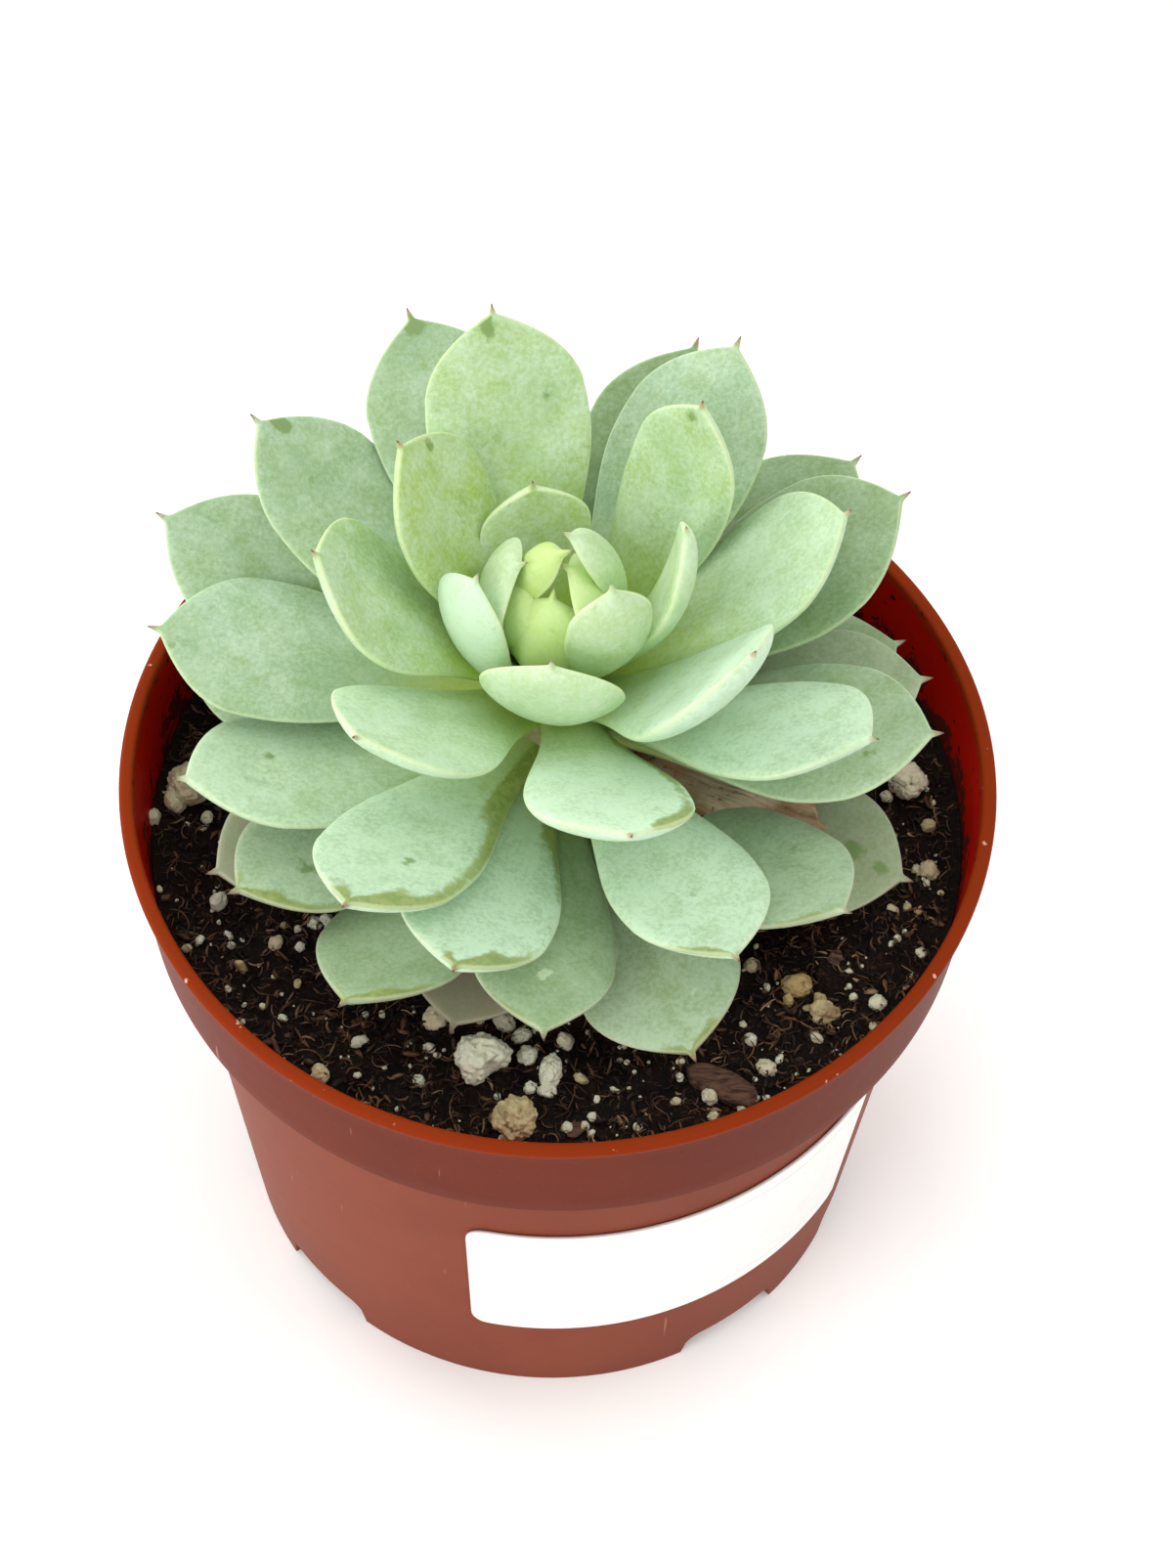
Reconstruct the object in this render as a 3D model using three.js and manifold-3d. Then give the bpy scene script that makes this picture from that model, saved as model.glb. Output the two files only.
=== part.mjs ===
import * as THREE from 'three';
import * as BufferGeometryUtils from 'three/addons/utils/BufferGeometryUtils.js';
import Module from 'manifold-3d';

// A painted lady echeveria in a four-inch nursery pot, with its soil.
// Millimetres, +Z up, origin at the middle of the pot's foot.
// The plant is built leaf by leaf. Each leaf is a long spoon that leaves the
// stem at a compass angle and a slope, and ends in a small point.

const wasm = await Module();
wasm.setup();

// Space left between two pieces that touch.
const GAP = 0.3;

// Corners closer together than this are one corner.
const SAME_CORNER = 0.0001;

// Pot: a tapered wall with a wide band round the top, standing on six feet.
const POT_HEIGHT = 84;
const RIM_RADIUS = 54;
const LIP_THICKNESS = 1.8;
const LIP_DEPTH = 1.4;
const LIP_ROUND = 0.4;
const BAND_HEIGHT = 18.5;
const BAND_BOTTOM_RADIUS = 51.6;
const BAND_TOP_RADIUS = 53.3;
const WALL_TOP_RADIUS = 48;
const FOOT_RADIUS = 41;
const WALL_THICKNESS = 1.2;
const FLOOR_HEIGHT = 5;
const FLOOR_THICKNESS = 1.4;
const POT_SIDES = 56;
const ARCH_WIDTH = 20;
const ARCH_HEIGHT = 4.5;
const ARCH_CORNER = 2.5;
const ARCH_CUT_DEPTH = 12;
const ARCH_CUT_OUTSIDE = 3;
const ARCH_ANGLES = [67.5, 104.5, 187.5, 224.5, 307.5, 344.5];
const DRAIN_RADIUS = 4.5;
const DRAIN_RING_RADIUS = 29;
const DRAIN_COUNT = 6;
const DRAIN_SIDES = 16;

// Sticker on the wall, bare.
const LABEL_START = 258;
const LABEL_END = 330;
const LABEL_BOTTOM = 19.5;
const LABEL_TOP = 50;
const LABEL_THICKNESS = 0.4;
const LABEL_CORNER = 3;
const LABEL_COLUMNS = 14;
const LABEL_CORNER_STEPS = [0, 0.3, 1];

// Soil.
const SOIL_LEVEL = 71;
const SOIL_ROUGHNESS = 0.7;
const SOIL_FINE_SHARE = 0.6;
const SOIL_RINGS = [0.8, 0.6, 0.4, 0.2];
const SOIL_EDGE_SETTLE = 6;
const SOIL_SIDES = 32;

// Stem: the plant stands a little behind the middle of the pot.
const STEM_X = -0.5;
const STEM_Y = 6;
const STEM_PROFILE = [
  [0, 57], [4, 58], [5.5, 63], [6.5, 72], [8, 78], [9, 84],
  [8.6, 90], [7, 94.5], [4.5, 98], [2.2, 100.5], [0, 101.5],
];
const STEM_SIDES = 16;
const ROOT_COUNT = 5;
const ROOT_LENGTH = 34;
const ROOT_RADIUS = 1.8;
const ROOT_TIP_RADIUS = 0.8;
const ROOT_SLOPE = 38;
const ROOT_HEIGHT = 61;
const ROOT_SLOPE_STEP = 4;
const ROOT_START = 1;
const ROOT_FIRST_TURN = 0.3;
const ROOT_SIDES = 6;

// Leaf shape shared by all leaves, as shares of the leaf's own length or width.
const WIDEST_AT = 0.64;
const THICKEST_AT = 0.45;
const NECK = 0.38;
const UPPER_SHARE = 0.4;
const LOWER_SHARE = 0.6;
const POINT_OVERLAP = 0.9;
const POINT_BLUNTNESS = 0.05;
const POINT_WIDENING = 0.3;
const POINT_LIMIT = 0.15;
const NECK_EASE = 1.35;
const SHOULDER_POWER = 3;
const SHOULDER_FULLNESS = 0.95;
const BASE_THICKNESS = 0.8;
const TIP_THINNING = 0.62;
const THINNING_POWER = 2.4;
const EDGE_ALLOWANCE = 0.14;
const EDGE_STEEPNESS = 0.62;
const TROUGH_CENTRE = 0.35;
const LEAF_STATIONS = [0, 0.2, 0.42, 0.62, 0.8, 0.92];
const LEAF_SIDES = 8;
const PATH_STEPS = 100;

// Whorls: how far from the stem's middle a leaf starts, how thick it is, how
// deeply its blade is cupped and how long its spiny point is.
const WHORLS = {
  heart: { start: 1, thickness: 2.6, cup: 0.34, point: 1.6, colour: 0xb9d68c },
  inner: { start: 2, thickness: 3.6, cup: 0.16, point: 1.6, colour: 0xbcdcae },
  middle: { start: 3.5, thickness: 4.4, cup: 0.11, point: 1.3, colour: 0xa9cc9f },
  outer: { start: 4.5, thickness: 4.4, cup: 0.1, point: 1.6, colour: 0x9dbf9c },
  lower: { start: 5.5, thickness: 4, cup: 0.08, point: 1.6, colour: 0x8ba88c },
  dried: { start: 5.5, thickness: 1.8, cup: 0.05, point: 1.5, colour: 0x6f5a45 },
};

// Leaves, inner ones first. Each row: compass angle from +X, slope of the
// chord, length, width, bend (negative curls inward), twist about its own
// length, sideways swing, and the height at which it leaves the stem.
// Angles in degrees, sizes in millimetres.
const HEART_LEAVES = [
  [256, 86.5, 20.2, 11.8, -90, 0, 0, 98.4],
  [352, 94, 20.5, 12, -108, 12, 0, 101],
  [198, 84, 17.5, 9.5, -118, 0, 0, 101.8],
  [174, 98, 21.5, 6.2, -105, 20, 0, 102.8],
];
const INNER_LEAVES = [
  [174, 85, 21.5, 13, -104, 6, -25, 101],
  [16, 94, 27.5, 7, -86, -10, -6, 99],
  [307.5, 72, 28, 10.7, -56, -22, 7, 100.6],
  [106, 63, 24.5, 14, -60, 3, -4, 97.6],
  [200.5, 72, 28, 11.5, -72, 24, -4, 96],
  [3, 67, 33.5, 12.8, -52, -16, 29, 97],
  [269, 62, 28.8, 17.2, -50, -6, 6, 95.2],
];
const MIDDLE_LEAVES = [
  [46, 60, 40, 16, -50, -2, 9, 96],
  [323, 51, 40.5, 19, -38, 0, 0, 95],
  [151, 59, 37, 18, -11, 3, 18, 95],
  [106, 45, 42.5, 20.5, -15, 2, -6, 97],
  [185, 44, 36, 20, -34, 1, 4, 98],
  [227, 37, 38, 20, -21, 5, 3, 94],
  [285, 31, 38.5, 19.5, -25, -10, 0, 94],
  [18, 34, 40, 21.5, -29, -16, 0, 94],
];
const OUTER_LEAVES = [
  [60, 35, 46, 20.5, -14, -11, 0, 91],
  [333, 28, 43, 19.5, -11, -12, -2, 92],
  [241, 22, 47.5, 18.5, -28, 0, 12, 90],
  [115, 25, 48, 20, -11, -4, 3, 92],
  [145, 27, 48, 19, -15, 3, 4, 89],
  [25, 26, 47, 21.5, -13, -5, -4, 88.5],
  [70, 24.3, 47, 20, -11, -2, 0, 88],
  [43, 14.5, 48, 21.5, -10, -5, 0, 85],
  [257, 19, 45.5, 19, -29, -11, 7, 86],
  [298, 13, 44.5, 18, -17, -2, -5, 89],
  [174, 6, 46.5, 20, -16, -4, 5, 91],
  [157, 13, 52, 20, -20, -12, 5, 86],
  [350, 12, 44, 21, -15, -3, 6, 89],
  [199, 9, 44.5, 22, -26, 14, -4, 87],
  [88, 9, 41.5, 19, -6, 0, 0, 87],
  [131, 4, 41, 19, -6, 0, 0, 84],
  [166, 1, 45, 20, -4, 0, 0, 81],
];
const LOWER_LEAVES = [
  [318, 18, 45, 21, -15, -10, 8, 81],
  [215, 6, 42, 20, -14, 9, 0, 82],
  [10, 4, 42, 19, 0, 0, 2, 83.5],
  [240.7, 9, 45, 20, -20, 16, -5, 81],
  [270, 8, 42.5, 17.5, -1, -6, 5, 83],
  [292, -2, 43, 20.5, -12, 10, 0, 82],
  [338, 4, 42.5, 20, -4, 4, 0, 77],
  [21, 4, 41.5, 20, 2, -2, 6, 79.5],
  [207, 8.5, 42, 20, -4, 0, 0, 75.5],
  [254, -1, 36, 17, -4, 0, 0, 77.5],
  [72, 6, 40, 19, -4, 0, 0, 82],
  [104, 4, 39, 19, -4, 0, 0, 81],
  [147, -3, 40, 19, -4, 0, 0, 77.5],
];
const DRIED_LEAVES = [
  [338, -2, 31, 12, 8, 12, 6, 85.5],
];

// Big lumps of white perlite in the soil: x, y and size across.
const PERLITE_LUMPS = [
  [-8, -35, 7.5],
  [0.3, -36, 5],
  [-3.8, -43.3, 6],
  [-46.5, 3.5, 6],
  [44, 8, 5.5],
];
const PERLITE_SINK = 0.3;
const PERLITE_FLATNESS = 0.8;
const PERLITE_DENT = 0.13;
const PERLITE_DENT_ACROSS = 5;
const PERLITE_DENT_ALONG = 4;
const PERLITE_RIPPLE = 0.06;
const PERLITE_RIPPLE_WAVE = 7;

// A chip of bark lying on the soil.
const BARK_SIZE = [9, 4, 2.4];
const BARK_PLACE = [21, -36.5];
const BARK_TURN = -28;
const BARK_TILT = 11;
const BARK_TAPER = 0.25;
const BARK_SKEW = 0.05;
const BARK_WAVE = 0.3;
const BARK_RISE = 0.2;
const BARK_COLUMNS = 3;

// Colour and roughness of each material; a leaf's colour is its whorl's.
const FINISHES = {
  pot: { colour: 0xa4513a, roughness: 0.5 },
  label: { colour: 0xf4f3f0, roughness: 0.6 },
  soil: { colour: 0x2f2621, roughness: 1 },
  stem: { colour: 0x8f9c62, roughness: 0.8 },
  perlite: { colour: 0xe9e6d8, roughness: 0.95 },
  bark: { colour: 0x5f4433, roughness: 0.95 },
};
const LEAF_ROUGHNESS = 0.7;
const DRIED_ROUGHNESS = 0.9;

const radians = THREE.MathUtils.degToRad;

// A closed solid made from a geometry, for joining and cutting.
function solidFrom(geometry) {
  const bare = geometry.index ? geometry.clone() : geometry;
  bare.deleteAttribute('normal');
  bare.deleteAttribute('uv');
  const merged = BufferGeometryUtils.mergeVertices(bare, SAME_CORNER);
  return new wasm.Manifold(new wasm.Mesh({
    numProp: 3,
    vertProperties: new Float32Array(merged.attributes.position.array),
    triVerts: new Uint32Array(merged.index.array),
  }));
}

function geometryFrom(solid) {
  const mesh = solid.getMesh();
  const geometry = new THREE.BufferGeometry();
  geometry.setAttribute('position', new THREE.BufferAttribute(mesh.vertProperties, 3));
  geometry.setIndex(new THREE.BufferAttribute(mesh.triVerts, 1));
  geometry.computeVertexNormals();
  return geometry;
}

function largestBody(solid) {
  const bodies = solid.decompose();
  bodies.sort((a, b) => b.volume() - a.volume());
  return bodies[0];
}

function paint({ colour, roughness }) {
  return new THREE.MeshStandardMaterial({ color: colour, roughness, metalness: 0 });
}

function named(name, geometry, material) {
  const mesh = new THREE.Mesh(geometry, material);
  mesh.name = name;
  return mesh;
}

// Lathe about +Z from a profile of radius and height.
function turned(profile, sides) {
  const points = profile.map(([radius, height]) => new THREE.Vector2(radius, height));
  const geometry = new THREE.LatheGeometry(points, sides);
  geometry.rotateX(Math.PI / 2);
  return geometry;
}

// Radius of the pot's outer wall below the band.
function wallRadius(height) {
  const bandBottom = POT_HEIGHT - BAND_HEIGHT;
  return FOOT_RADIUS + (WALL_TOP_RADIUS - FOOT_RADIUS) * height / bandBottom;
}

function bandRadius(height) {
  const bandBottom = POT_HEIGHT - BAND_HEIGHT;
  const share = (height - bandBottom) / (BAND_HEIGHT - LIP_DEPTH);
  return BAND_BOTTOM_RADIUS + (BAND_TOP_RADIUS - BAND_BOTTOM_RADIUS) * share;
}

function potShell() {
  const bandBottom = POT_HEIGHT - BAND_HEIGHT;
  const shelf = bandBottom + WALL_THICKNESS;
  const lipBottom = POT_HEIGHT - LIP_DEPTH;
  const floorTop = FLOOR_HEIGHT + FLOOR_THICKNESS;
  const t = WALL_THICKNESS;
  const profile = [
    [0, FLOOR_HEIGHT],
    [wallRadius(FLOOR_HEIGHT) - t, FLOOR_HEIGHT],
    [FOOT_RADIUS - t, 0],
    [FOOT_RADIUS, 0],
    [WALL_TOP_RADIUS, bandBottom],
    [BAND_BOTTOM_RADIUS, bandBottom],
    [bandRadius(lipBottom), lipBottom],
    [RIM_RADIUS, lipBottom + LIP_ROUND],
    [RIM_RADIUS, POT_HEIGHT - LIP_ROUND],
    [RIM_RADIUS - LIP_ROUND, POT_HEIGHT],
    [RIM_RADIUS - LIP_THICKNESS + LIP_ROUND, POT_HEIGHT],
    [RIM_RADIUS - LIP_THICKNESS, POT_HEIGHT - LIP_ROUND],
    [BAND_BOTTOM_RADIUS - t, shelf],
    [WALL_TOP_RADIUS - t, shelf],
    [wallRadius(floorTop) - t, floorTop],
    [0, floorTop],
  ];
  return solidFrom(turned(profile, POT_SIDES));
}

// One arch between two feet, as a block with a round top.
function archCutter(angle) {
  const halfWidth = FOOT_RADIUS * Math.sin(radians(ARCH_WIDTH / 2));
  const below = -1;
  const corner = ARCH_CORNER;
  const shape = new THREE.Shape();
  shape.moveTo(-halfWidth, below);
  shape.lineTo(halfWidth, below);
  shape.lineTo(halfWidth, ARCH_HEIGHT - corner);
  shape.quadraticCurveTo(halfWidth, ARCH_HEIGHT, halfWidth - corner, ARCH_HEIGHT);
  shape.lineTo(corner - halfWidth, ARCH_HEIGHT);
  shape.quadraticCurveTo(-halfWidth, ARCH_HEIGHT, -halfWidth, ARCH_HEIGHT - corner);
  const cutter = new THREE.ExtrudeGeometry(shape, {
    depth: ARCH_CUT_DEPTH,
    bevelEnabled: false,
    curveSegments: 3,
  });
  cutter.rotateX(Math.PI / 2);
  cutter.rotateZ(Math.PI);
  cutter.translate(0, -FOOT_RADIUS - ARCH_CUT_OUTSIDE, 0);
  cutter.rotateZ(radians(angle + 90));
  return cutter;
}

function drainCutter(x, y) {
  const depth = FLOOR_THICKNESS * 3;
  const hole = new THREE.CylinderGeometry(DRAIN_RADIUS, DRAIN_RADIUS, depth, DRAIN_SIDES);
  hole.rotateX(Math.PI / 2);
  hole.translate(x, y, FLOOR_HEIGHT + FLOOR_THICKNESS / 2);
  return hole;
}

function pot() {
  let shell = potShell();
  for (const angle of ARCH_ANGLES) {
    shell = shell.subtract(solidFrom(archCutter(angle)));
  }
  shell = shell.subtract(solidFrom(drainCutter(0, 0)));
  for (let i = 0; i < DRAIN_COUNT; i += 1) {
    const angle = 2 * Math.PI * i / DRAIN_COUNT;
    const x = DRAIN_RING_RADIUS * Math.cos(angle);
    const y = DRAIN_RING_RADIUS * Math.sin(angle);
    shell = shell.subtract(solidFrom(drainCutter(x, y)));
  }
  return named('nursery_pot', geometryFrom(shell), paint(FINISHES.pot));
}

// A bare sticker with round corners, bent round the tapered wall.
function label() {
  const across = radians(LABEL_END - LABEL_START);
  const meanRadius = wallRadius((LABEL_BOTTOM + LABEL_TOP) / 2);
  const width = across * meanRadius;
  const height = LABEL_TOP - LABEL_BOTTOM;
  const columns = LABEL_COLUMNS;
  const positions = [];
  const faces = [];
  const heights = [];
  for (const share of LABEL_CORNER_STEPS) {
    heights.push(share * LABEL_CORNER);
  }
  for (const share of [...LABEL_CORNER_STEPS].reverse()) {
    heights.push(height - share * LABEL_CORNER);
  }
  const rows = heights.length;
  for (const depth of [0, LABEL_THICKNESS]) {
    for (const up of heights) {
      const edge = Math.min(up, height - up, LABEL_CORNER);
      const drop = LABEL_CORNER - edge;
      const inset = LABEL_CORNER - Math.sqrt(LABEL_CORNER ** 2 - drop ** 2);
      for (let i = 0; i <= columns; i += 1) {
        const along = inset + (width - 2 * inset) * i / columns;
        const angle = radians(LABEL_START) + along / meanRadius;
        const z = LABEL_BOTTOM + up;
        const radius = wallRadius(z) + GAP + depth;
        positions.push(radius * Math.cos(angle), radius * Math.sin(angle), z);
      }
    }
  }
  const side = rows * (columns + 1);
  const at = (layer, row, column) => layer * side + row * (columns + 1) + column;
  const quad = (a, b, c, d) => faces.push(a, b, c, a, c, d);
  for (let r = 0; r < rows - 1; r += 1) {
    for (let c = 0; c < columns; c += 1) {
      quad(at(1, r, c), at(1, r, c + 1), at(1, r + 1, c + 1), at(1, r + 1, c));
      quad(at(0, r, c), at(0, r + 1, c), at(0, r + 1, c + 1), at(0, r, c + 1));
    }
    quad(at(0, r, 0), at(1, r, 0), at(1, r + 1, 0), at(0, r + 1, 0));
    quad(at(1, r, columns), at(0, r, columns), at(0, r + 1, columns), at(1, r + 1, columns));
  }
  for (let c = 0; c < columns; c += 1) {
    quad(at(0, 0, c), at(0, 0, c + 1), at(1, 0, c + 1), at(1, 0, c));
    const top = rows - 1;
    quad(at(1, top, c), at(1, top, c + 1), at(0, top, c + 1), at(0, top, c));
  }
  const geometry = new THREE.BufferGeometry();
  geometry.setAttribute('position', new THREE.Float32BufferAttribute(positions, 3));
  geometry.setIndex(faces);
  return named('label', geometryFrom(solidFrom(geometry)), paint(FINISHES.label));
}

// The stem's body, wider by the given amount all round.
function stemBody(grow) {
  const last = STEM_PROFILE.length - 1;
  const profile = STEM_PROFILE.map(([radius, height], i) => {
    const lift = i === 0 ? -grow : i === last ? grow : 0;
    return [radius > 0 ? radius + grow : 0, height + lift];
  });
  let body = solidFrom(turned(profile, STEM_SIDES));
  for (let i = 0; i < ROOT_COUNT; i += 1) {
    const top = ROOT_RADIUS + grow;
    const tip = ROOT_TIP_RADIUS + grow;
    const root = new THREE.CylinderGeometry(top, tip, ROOT_LENGTH + grow, ROOT_SIDES);
    root.translate(0, -(ROOT_LENGTH + grow) / 2, 0);
    root.rotateX(Math.PI / 2);
    root.rotateY(-radians(90 - ROOT_SLOPE - ROOT_SLOPE_STEP * (i % 2)));
    root.translate(ROOT_START, 0, ROOT_HEIGHT);
    root.rotateZ(2 * Math.PI * (i + ROOT_FIRST_TURN) / ROOT_COUNT);
    body = body.add(solidFrom(root));
  }
  return body.translate([STEM_X, STEM_Y, 0]);
}

function stem() {
  return named('stem_with_roots', geometryFrom(stemBody(0)), paint(FINISHES.stem));
}

// How far the soil's top lies above or below its mean level: broad swells
// with a finer ripple across them.
function soilBump(x, y) {
  const broad = Math.sin(x * 0.11 + 1.3) * Math.cos(y * 0.13 - 0.4);
  const fine = Math.sin(x * 0.37 - y * 0.21) * Math.cos(y * 0.33 + 2.1);
  return SOIL_ROUGHNESS * (broad + SOIL_FINE_SHARE * fine);
}

function soilBlock() {
  const bandBottom = POT_HEIGHT - BAND_HEIGHT;
  const shelf = bandBottom + WALL_THICKNESS + GAP;
  const floorTop = FLOOR_HEIGHT + FLOOR_THICKNESS + GAP;
  const inset = WALL_THICKNESS + GAP;
  const slope = (RIM_RADIUS - LIP_THICKNESS - BAND_BOTTOM_RADIUS + WALL_THICKNESS)
    / (POT_HEIGHT - LIP_ROUND - bandBottom - WALL_THICKNESS);
  const edge = BAND_BOTTOM_RADIUS - inset + slope * (SOIL_LEVEL - shelf);
  const rings = SOIL_RINGS.map((share) => [edge * share, SOIL_LEVEL]);
  const profile = [
    [0, floorTop],
    [wallRadius(floorTop) - inset, floorTop],
    [WALL_TOP_RADIUS - inset, shelf],
    [BAND_BOTTOM_RADIUS - inset, shelf],
    [edge, SOIL_LEVEL],
    ...rings,
    [0, SOIL_LEVEL],
  ];
  const geometry = turned(profile, SOIL_SIDES);
  const place = geometry.attributes.position;
  for (let i = 0; i < place.count; i += 1) {
    const x = place.getX(i);
    const y = place.getY(i);
    const z = place.getZ(i);
    if (z > SOIL_LEVEL - 0.01) {
      const settle = Math.min(1, (edge - Math.hypot(x, y)) / SOIL_EDGE_SETTLE);
      place.setZ(i, SOIL_LEVEL + soilBump(x, y) * settle);
    }
  }
  return solidFrom(geometry);
}

// A rough ball of perlite, wider by the given amount all round.
function perliteLump([x, y, size], grow) {
  const ball = new THREE.IcosahedronGeometry(1, 1);
  ball.deleteAttribute('normal');
  ball.deleteAttribute('uv');
  const lump = BufferGeometryUtils.mergeVertices(ball, SAME_CORNER);
  const place = lump.attributes.position;
  for (let i = 0; i < place.count; i += 1) {
    const v = new THREE.Vector3().fromBufferAttribute(place, i);
    const dentAcross = Math.sin(v.x * PERLITE_DENT_ACROSS + x);
    const dentAlong = Math.cos(v.y * PERLITE_DENT_ALONG + y);
    const ripple = PERLITE_RIPPLE * Math.sin(v.z * PERLITE_RIPPLE_WAVE);
    const bulge = 1 + PERLITE_DENT * dentAcross * dentAlong - ripple;
    v.multiplyScalar(size / 2 * bulge + grow);
    v.z *= PERLITE_FLATNESS;
    place.setXYZ(i, v.x, v.y, v.z);
  }
  const rise = size / 2 * PERLITE_FLATNESS * (1 - PERLITE_SINK);
  lump.translate(x, y, SOIL_LEVEL + soilBump(x, y) + rise);
  return solidFrom(lump);
}

function barkChip(grow) {
  const [length, width, height] = BARK_SIZE;
  const size = [length, width, height].map((side) => side + 2 * grow);
  const chip = new THREE.BoxGeometry(...size, BARK_COLUMNS, 1, 1);
  const place = chip.attributes.position;
  for (let i = 0; i < place.count; i += 1) {
    const x = place.getX(i);
    const narrow = 1 - BARK_TAPER * Math.abs(x) / length;
    place.setY(i, place.getY(i) * narrow + BARK_SKEW * x);
    place.setZ(i, place.getZ(i) * narrow + BARK_WAVE * Math.sin(x));
  }
  chip.rotateX(radians(BARK_TILT));
  chip.rotateZ(radians(BARK_TURN));
  const [x, y] = BARK_PLACE;
  chip.translate(x, y, SOIL_LEVEL + soilBump(x, y) + height * BARK_RISE);
  return solidFrom(chip);
}

function soil(cutters) {
  let block = soilBlock();
  for (const cutter of cutters) {
    block = block.subtract(cutter);
  }
  return named('soil', geometryFrom(largestBody(block)), paint(FINISHES.soil));
}

function readLeaf(row, whorl) {
  const [at, slope, length, width, bend, twist, swing, base] = row;
  return { at, slope, length, width, bend, twist, swing, base, ...WHORLS[whorl] };
}

// Direction of the leaf's middle line at a share of its length.
function leafAngles(leaf, share) {
  return {
    rise: radians(leaf.slope + leaf.bend * (0.5 - share)),
    turn: radians(leaf.at + leaf.swing * (share - 0.5)),
  };
}

function leafDirection(leaf, share) {
  const { rise, turn } = leafAngles(leaf, share);
  const flat = Math.cos(rise);
  return new THREE.Vector3(flat * Math.cos(turn), flat * Math.sin(turn), Math.sin(rise));
}

// Points along the leaf's middle line, one for each step.
function leafPath(leaf) {
  const away = radians(leaf.at);
  const x = STEM_X + leaf.start * Math.cos(away);
  const y = STEM_Y + leaf.start * Math.sin(away);
  const path = [new THREE.Vector3(x, y, leaf.base)];
  for (let i = 1; i <= PATH_STEPS; i += 1) {
    const before = leafDirection(leaf, (i - 1) / PATH_STEPS);
    const after = leafDirection(leaf, i / PATH_STEPS);
    const step = before.add(after).multiplyScalar(leaf.length / PATH_STEPS / 2);
    path.push(path[i - 1].clone().add(step));
  }
  return path;
}

function pointStart(leaf) {
  return 1 - POINT_OVERLAP * leaf.point / leaf.length;
}

// Narrow neck, full shoulders, and a short point that runs out of the blade.
function halfWidth(leaf, share) {
  if (share < WIDEST_AT) {
    const s = share / WIDEST_AT;
    const ease = (s * s * (3 - 2 * s)) ** NECK_EASE;
    return leaf.width / 2 * (NECK + (1 - NECK) * ease);
  }
  const end = Math.min(1, (share - WIDEST_AT) / (pointStart(leaf) - WIDEST_AT));
  const blade = leaf.width / 2 * (1 - end ** SHOULDER_POWER) ** SHOULDER_FULLNESS;
  const left = (1 - share) * leaf.length;
  const cusp = Math.min(leaf.width * POINT_LIMIT, POINT_BLUNTNESS + POINT_WIDENING * left);
  return Math.cbrt(blade ** 3 + cusp ** 3);
}

function leafThickness(leaf, share) {
  const grown = Math.min(1, share / THICKEST_AT);
  const end = Math.min(1, Math.max(0, (share - THICKEST_AT) / (pointStart(leaf) - THICKEST_AT)));
  const swell = BASE_THICKNESS + (1 - BASE_THICKNESS) * Math.sin(grown * Math.PI / 2);
  const body = leaf.thickness * swell * (1 - TIP_THINNING * end ** THINNING_POWER);
  return Math.min(body, EDGE_ALLOWANCE + EDGE_STEEPNESS * (1 - share) * leaf.length);
}

// A closed leaf, wider and thicker by the given amount.
function leafSolid(leaf, grow) {
  const path = leafPath(leaf);
  const stations = [...LEAF_STATIONS, pointStart(leaf)];
  const positions = [];
  for (const share of stations) {
    const { rise, turn } = leafAngles(leaf, share);
    const centre = path[Math.round(share * PATH_STEPS)];
    const across = new THREE.Vector3(-Math.sin(turn), Math.cos(turn), 0);
    const up = new THREE.Vector3(-Math.cos(turn), -Math.sin(turn), 0)
      .multiplyScalar(Math.sin(rise))
      .setZ(Math.cos(rise));
    const along = leafDirection(leaf, share);
    across.applyAxisAngle(along, radians(leaf.twist));
    up.applyAxisAngle(along, radians(leaf.twist));
    const measured = share > WIDEST_AT ? share - grow / leaf.length : share;
    const half = halfWidth(leaf, measured);
    const thick = leafThickness(leaf, measured);
    if (share === 0) {
      centre.addScaledVector(along, -grow);
    }
    for (let j = 0; j < LEAF_SIDES; j += 1) {
      const angle = 2 * Math.PI * j / LEAF_SIDES;
      const x = Math.cos(angle);
      const y = Math.sin(angle);
      const depth = thick * y * (y > 0 ? UPPER_SHARE : LOWER_SHARE) + grow * y;
      const trough = leaf.cup * half * (x * x - TROUGH_CENTRE);
      const point = centre.clone()
        .addScaledVector(across, (half + grow) * x)
        .addScaledVector(up, depth + trough);
      positions.push(point.x, point.y, point.z);
    }
  }
  const tip = path[PATH_STEPS].clone().addScaledVector(leafDirection(leaf, 1), grow);
  positions.push(tip.x, tip.y, tip.z);
  const faces = [];
  const rings = stations.length;
  const tipIndex = rings * LEAF_SIDES;
  for (let j = 0; j < LEAF_SIDES; j += 1) {
    const k = (j + 1) % LEAF_SIDES;
    for (let i = 0; i < rings - 1; i += 1) {
      const a = i * LEAF_SIDES;
      const b = a + LEAF_SIDES;
      faces.push(a + j, a + k, b + k, a + j, b + k, b + j);
    }
    const end = tipIndex - LEAF_SIDES;
    faces.push(end + j, end + k, tipIndex);
    if (j > 0 && j < LEAF_SIDES - 1) {
      faces.push(0, j + 1, j);
    }
  }
  const geometry = new THREE.BufferGeometry();
  geometry.setAttribute('position', new THREE.Float32BufferAttribute(positions, 3));
  geometry.setIndex(faces);
  return solidFrom(geometry);
}

function boxesMeet(a, b) {
  return [0, 1, 2].every((k) => a.min[k] < b.max[k] && b.min[k] < a.max[k]);
}

// Cuts a leaf clear of the stem and of every leaf above it.
function trimmedLeaf(leaf, taken) {
  let body = leafSolid(leaf, 0);
  for (const other of taken) {
    if (boxesMeet(body.boundingBox(), other.boundingBox())) {
      body = body.subtract(other);
    }
  }
  return largestBody(body);
}

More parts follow.
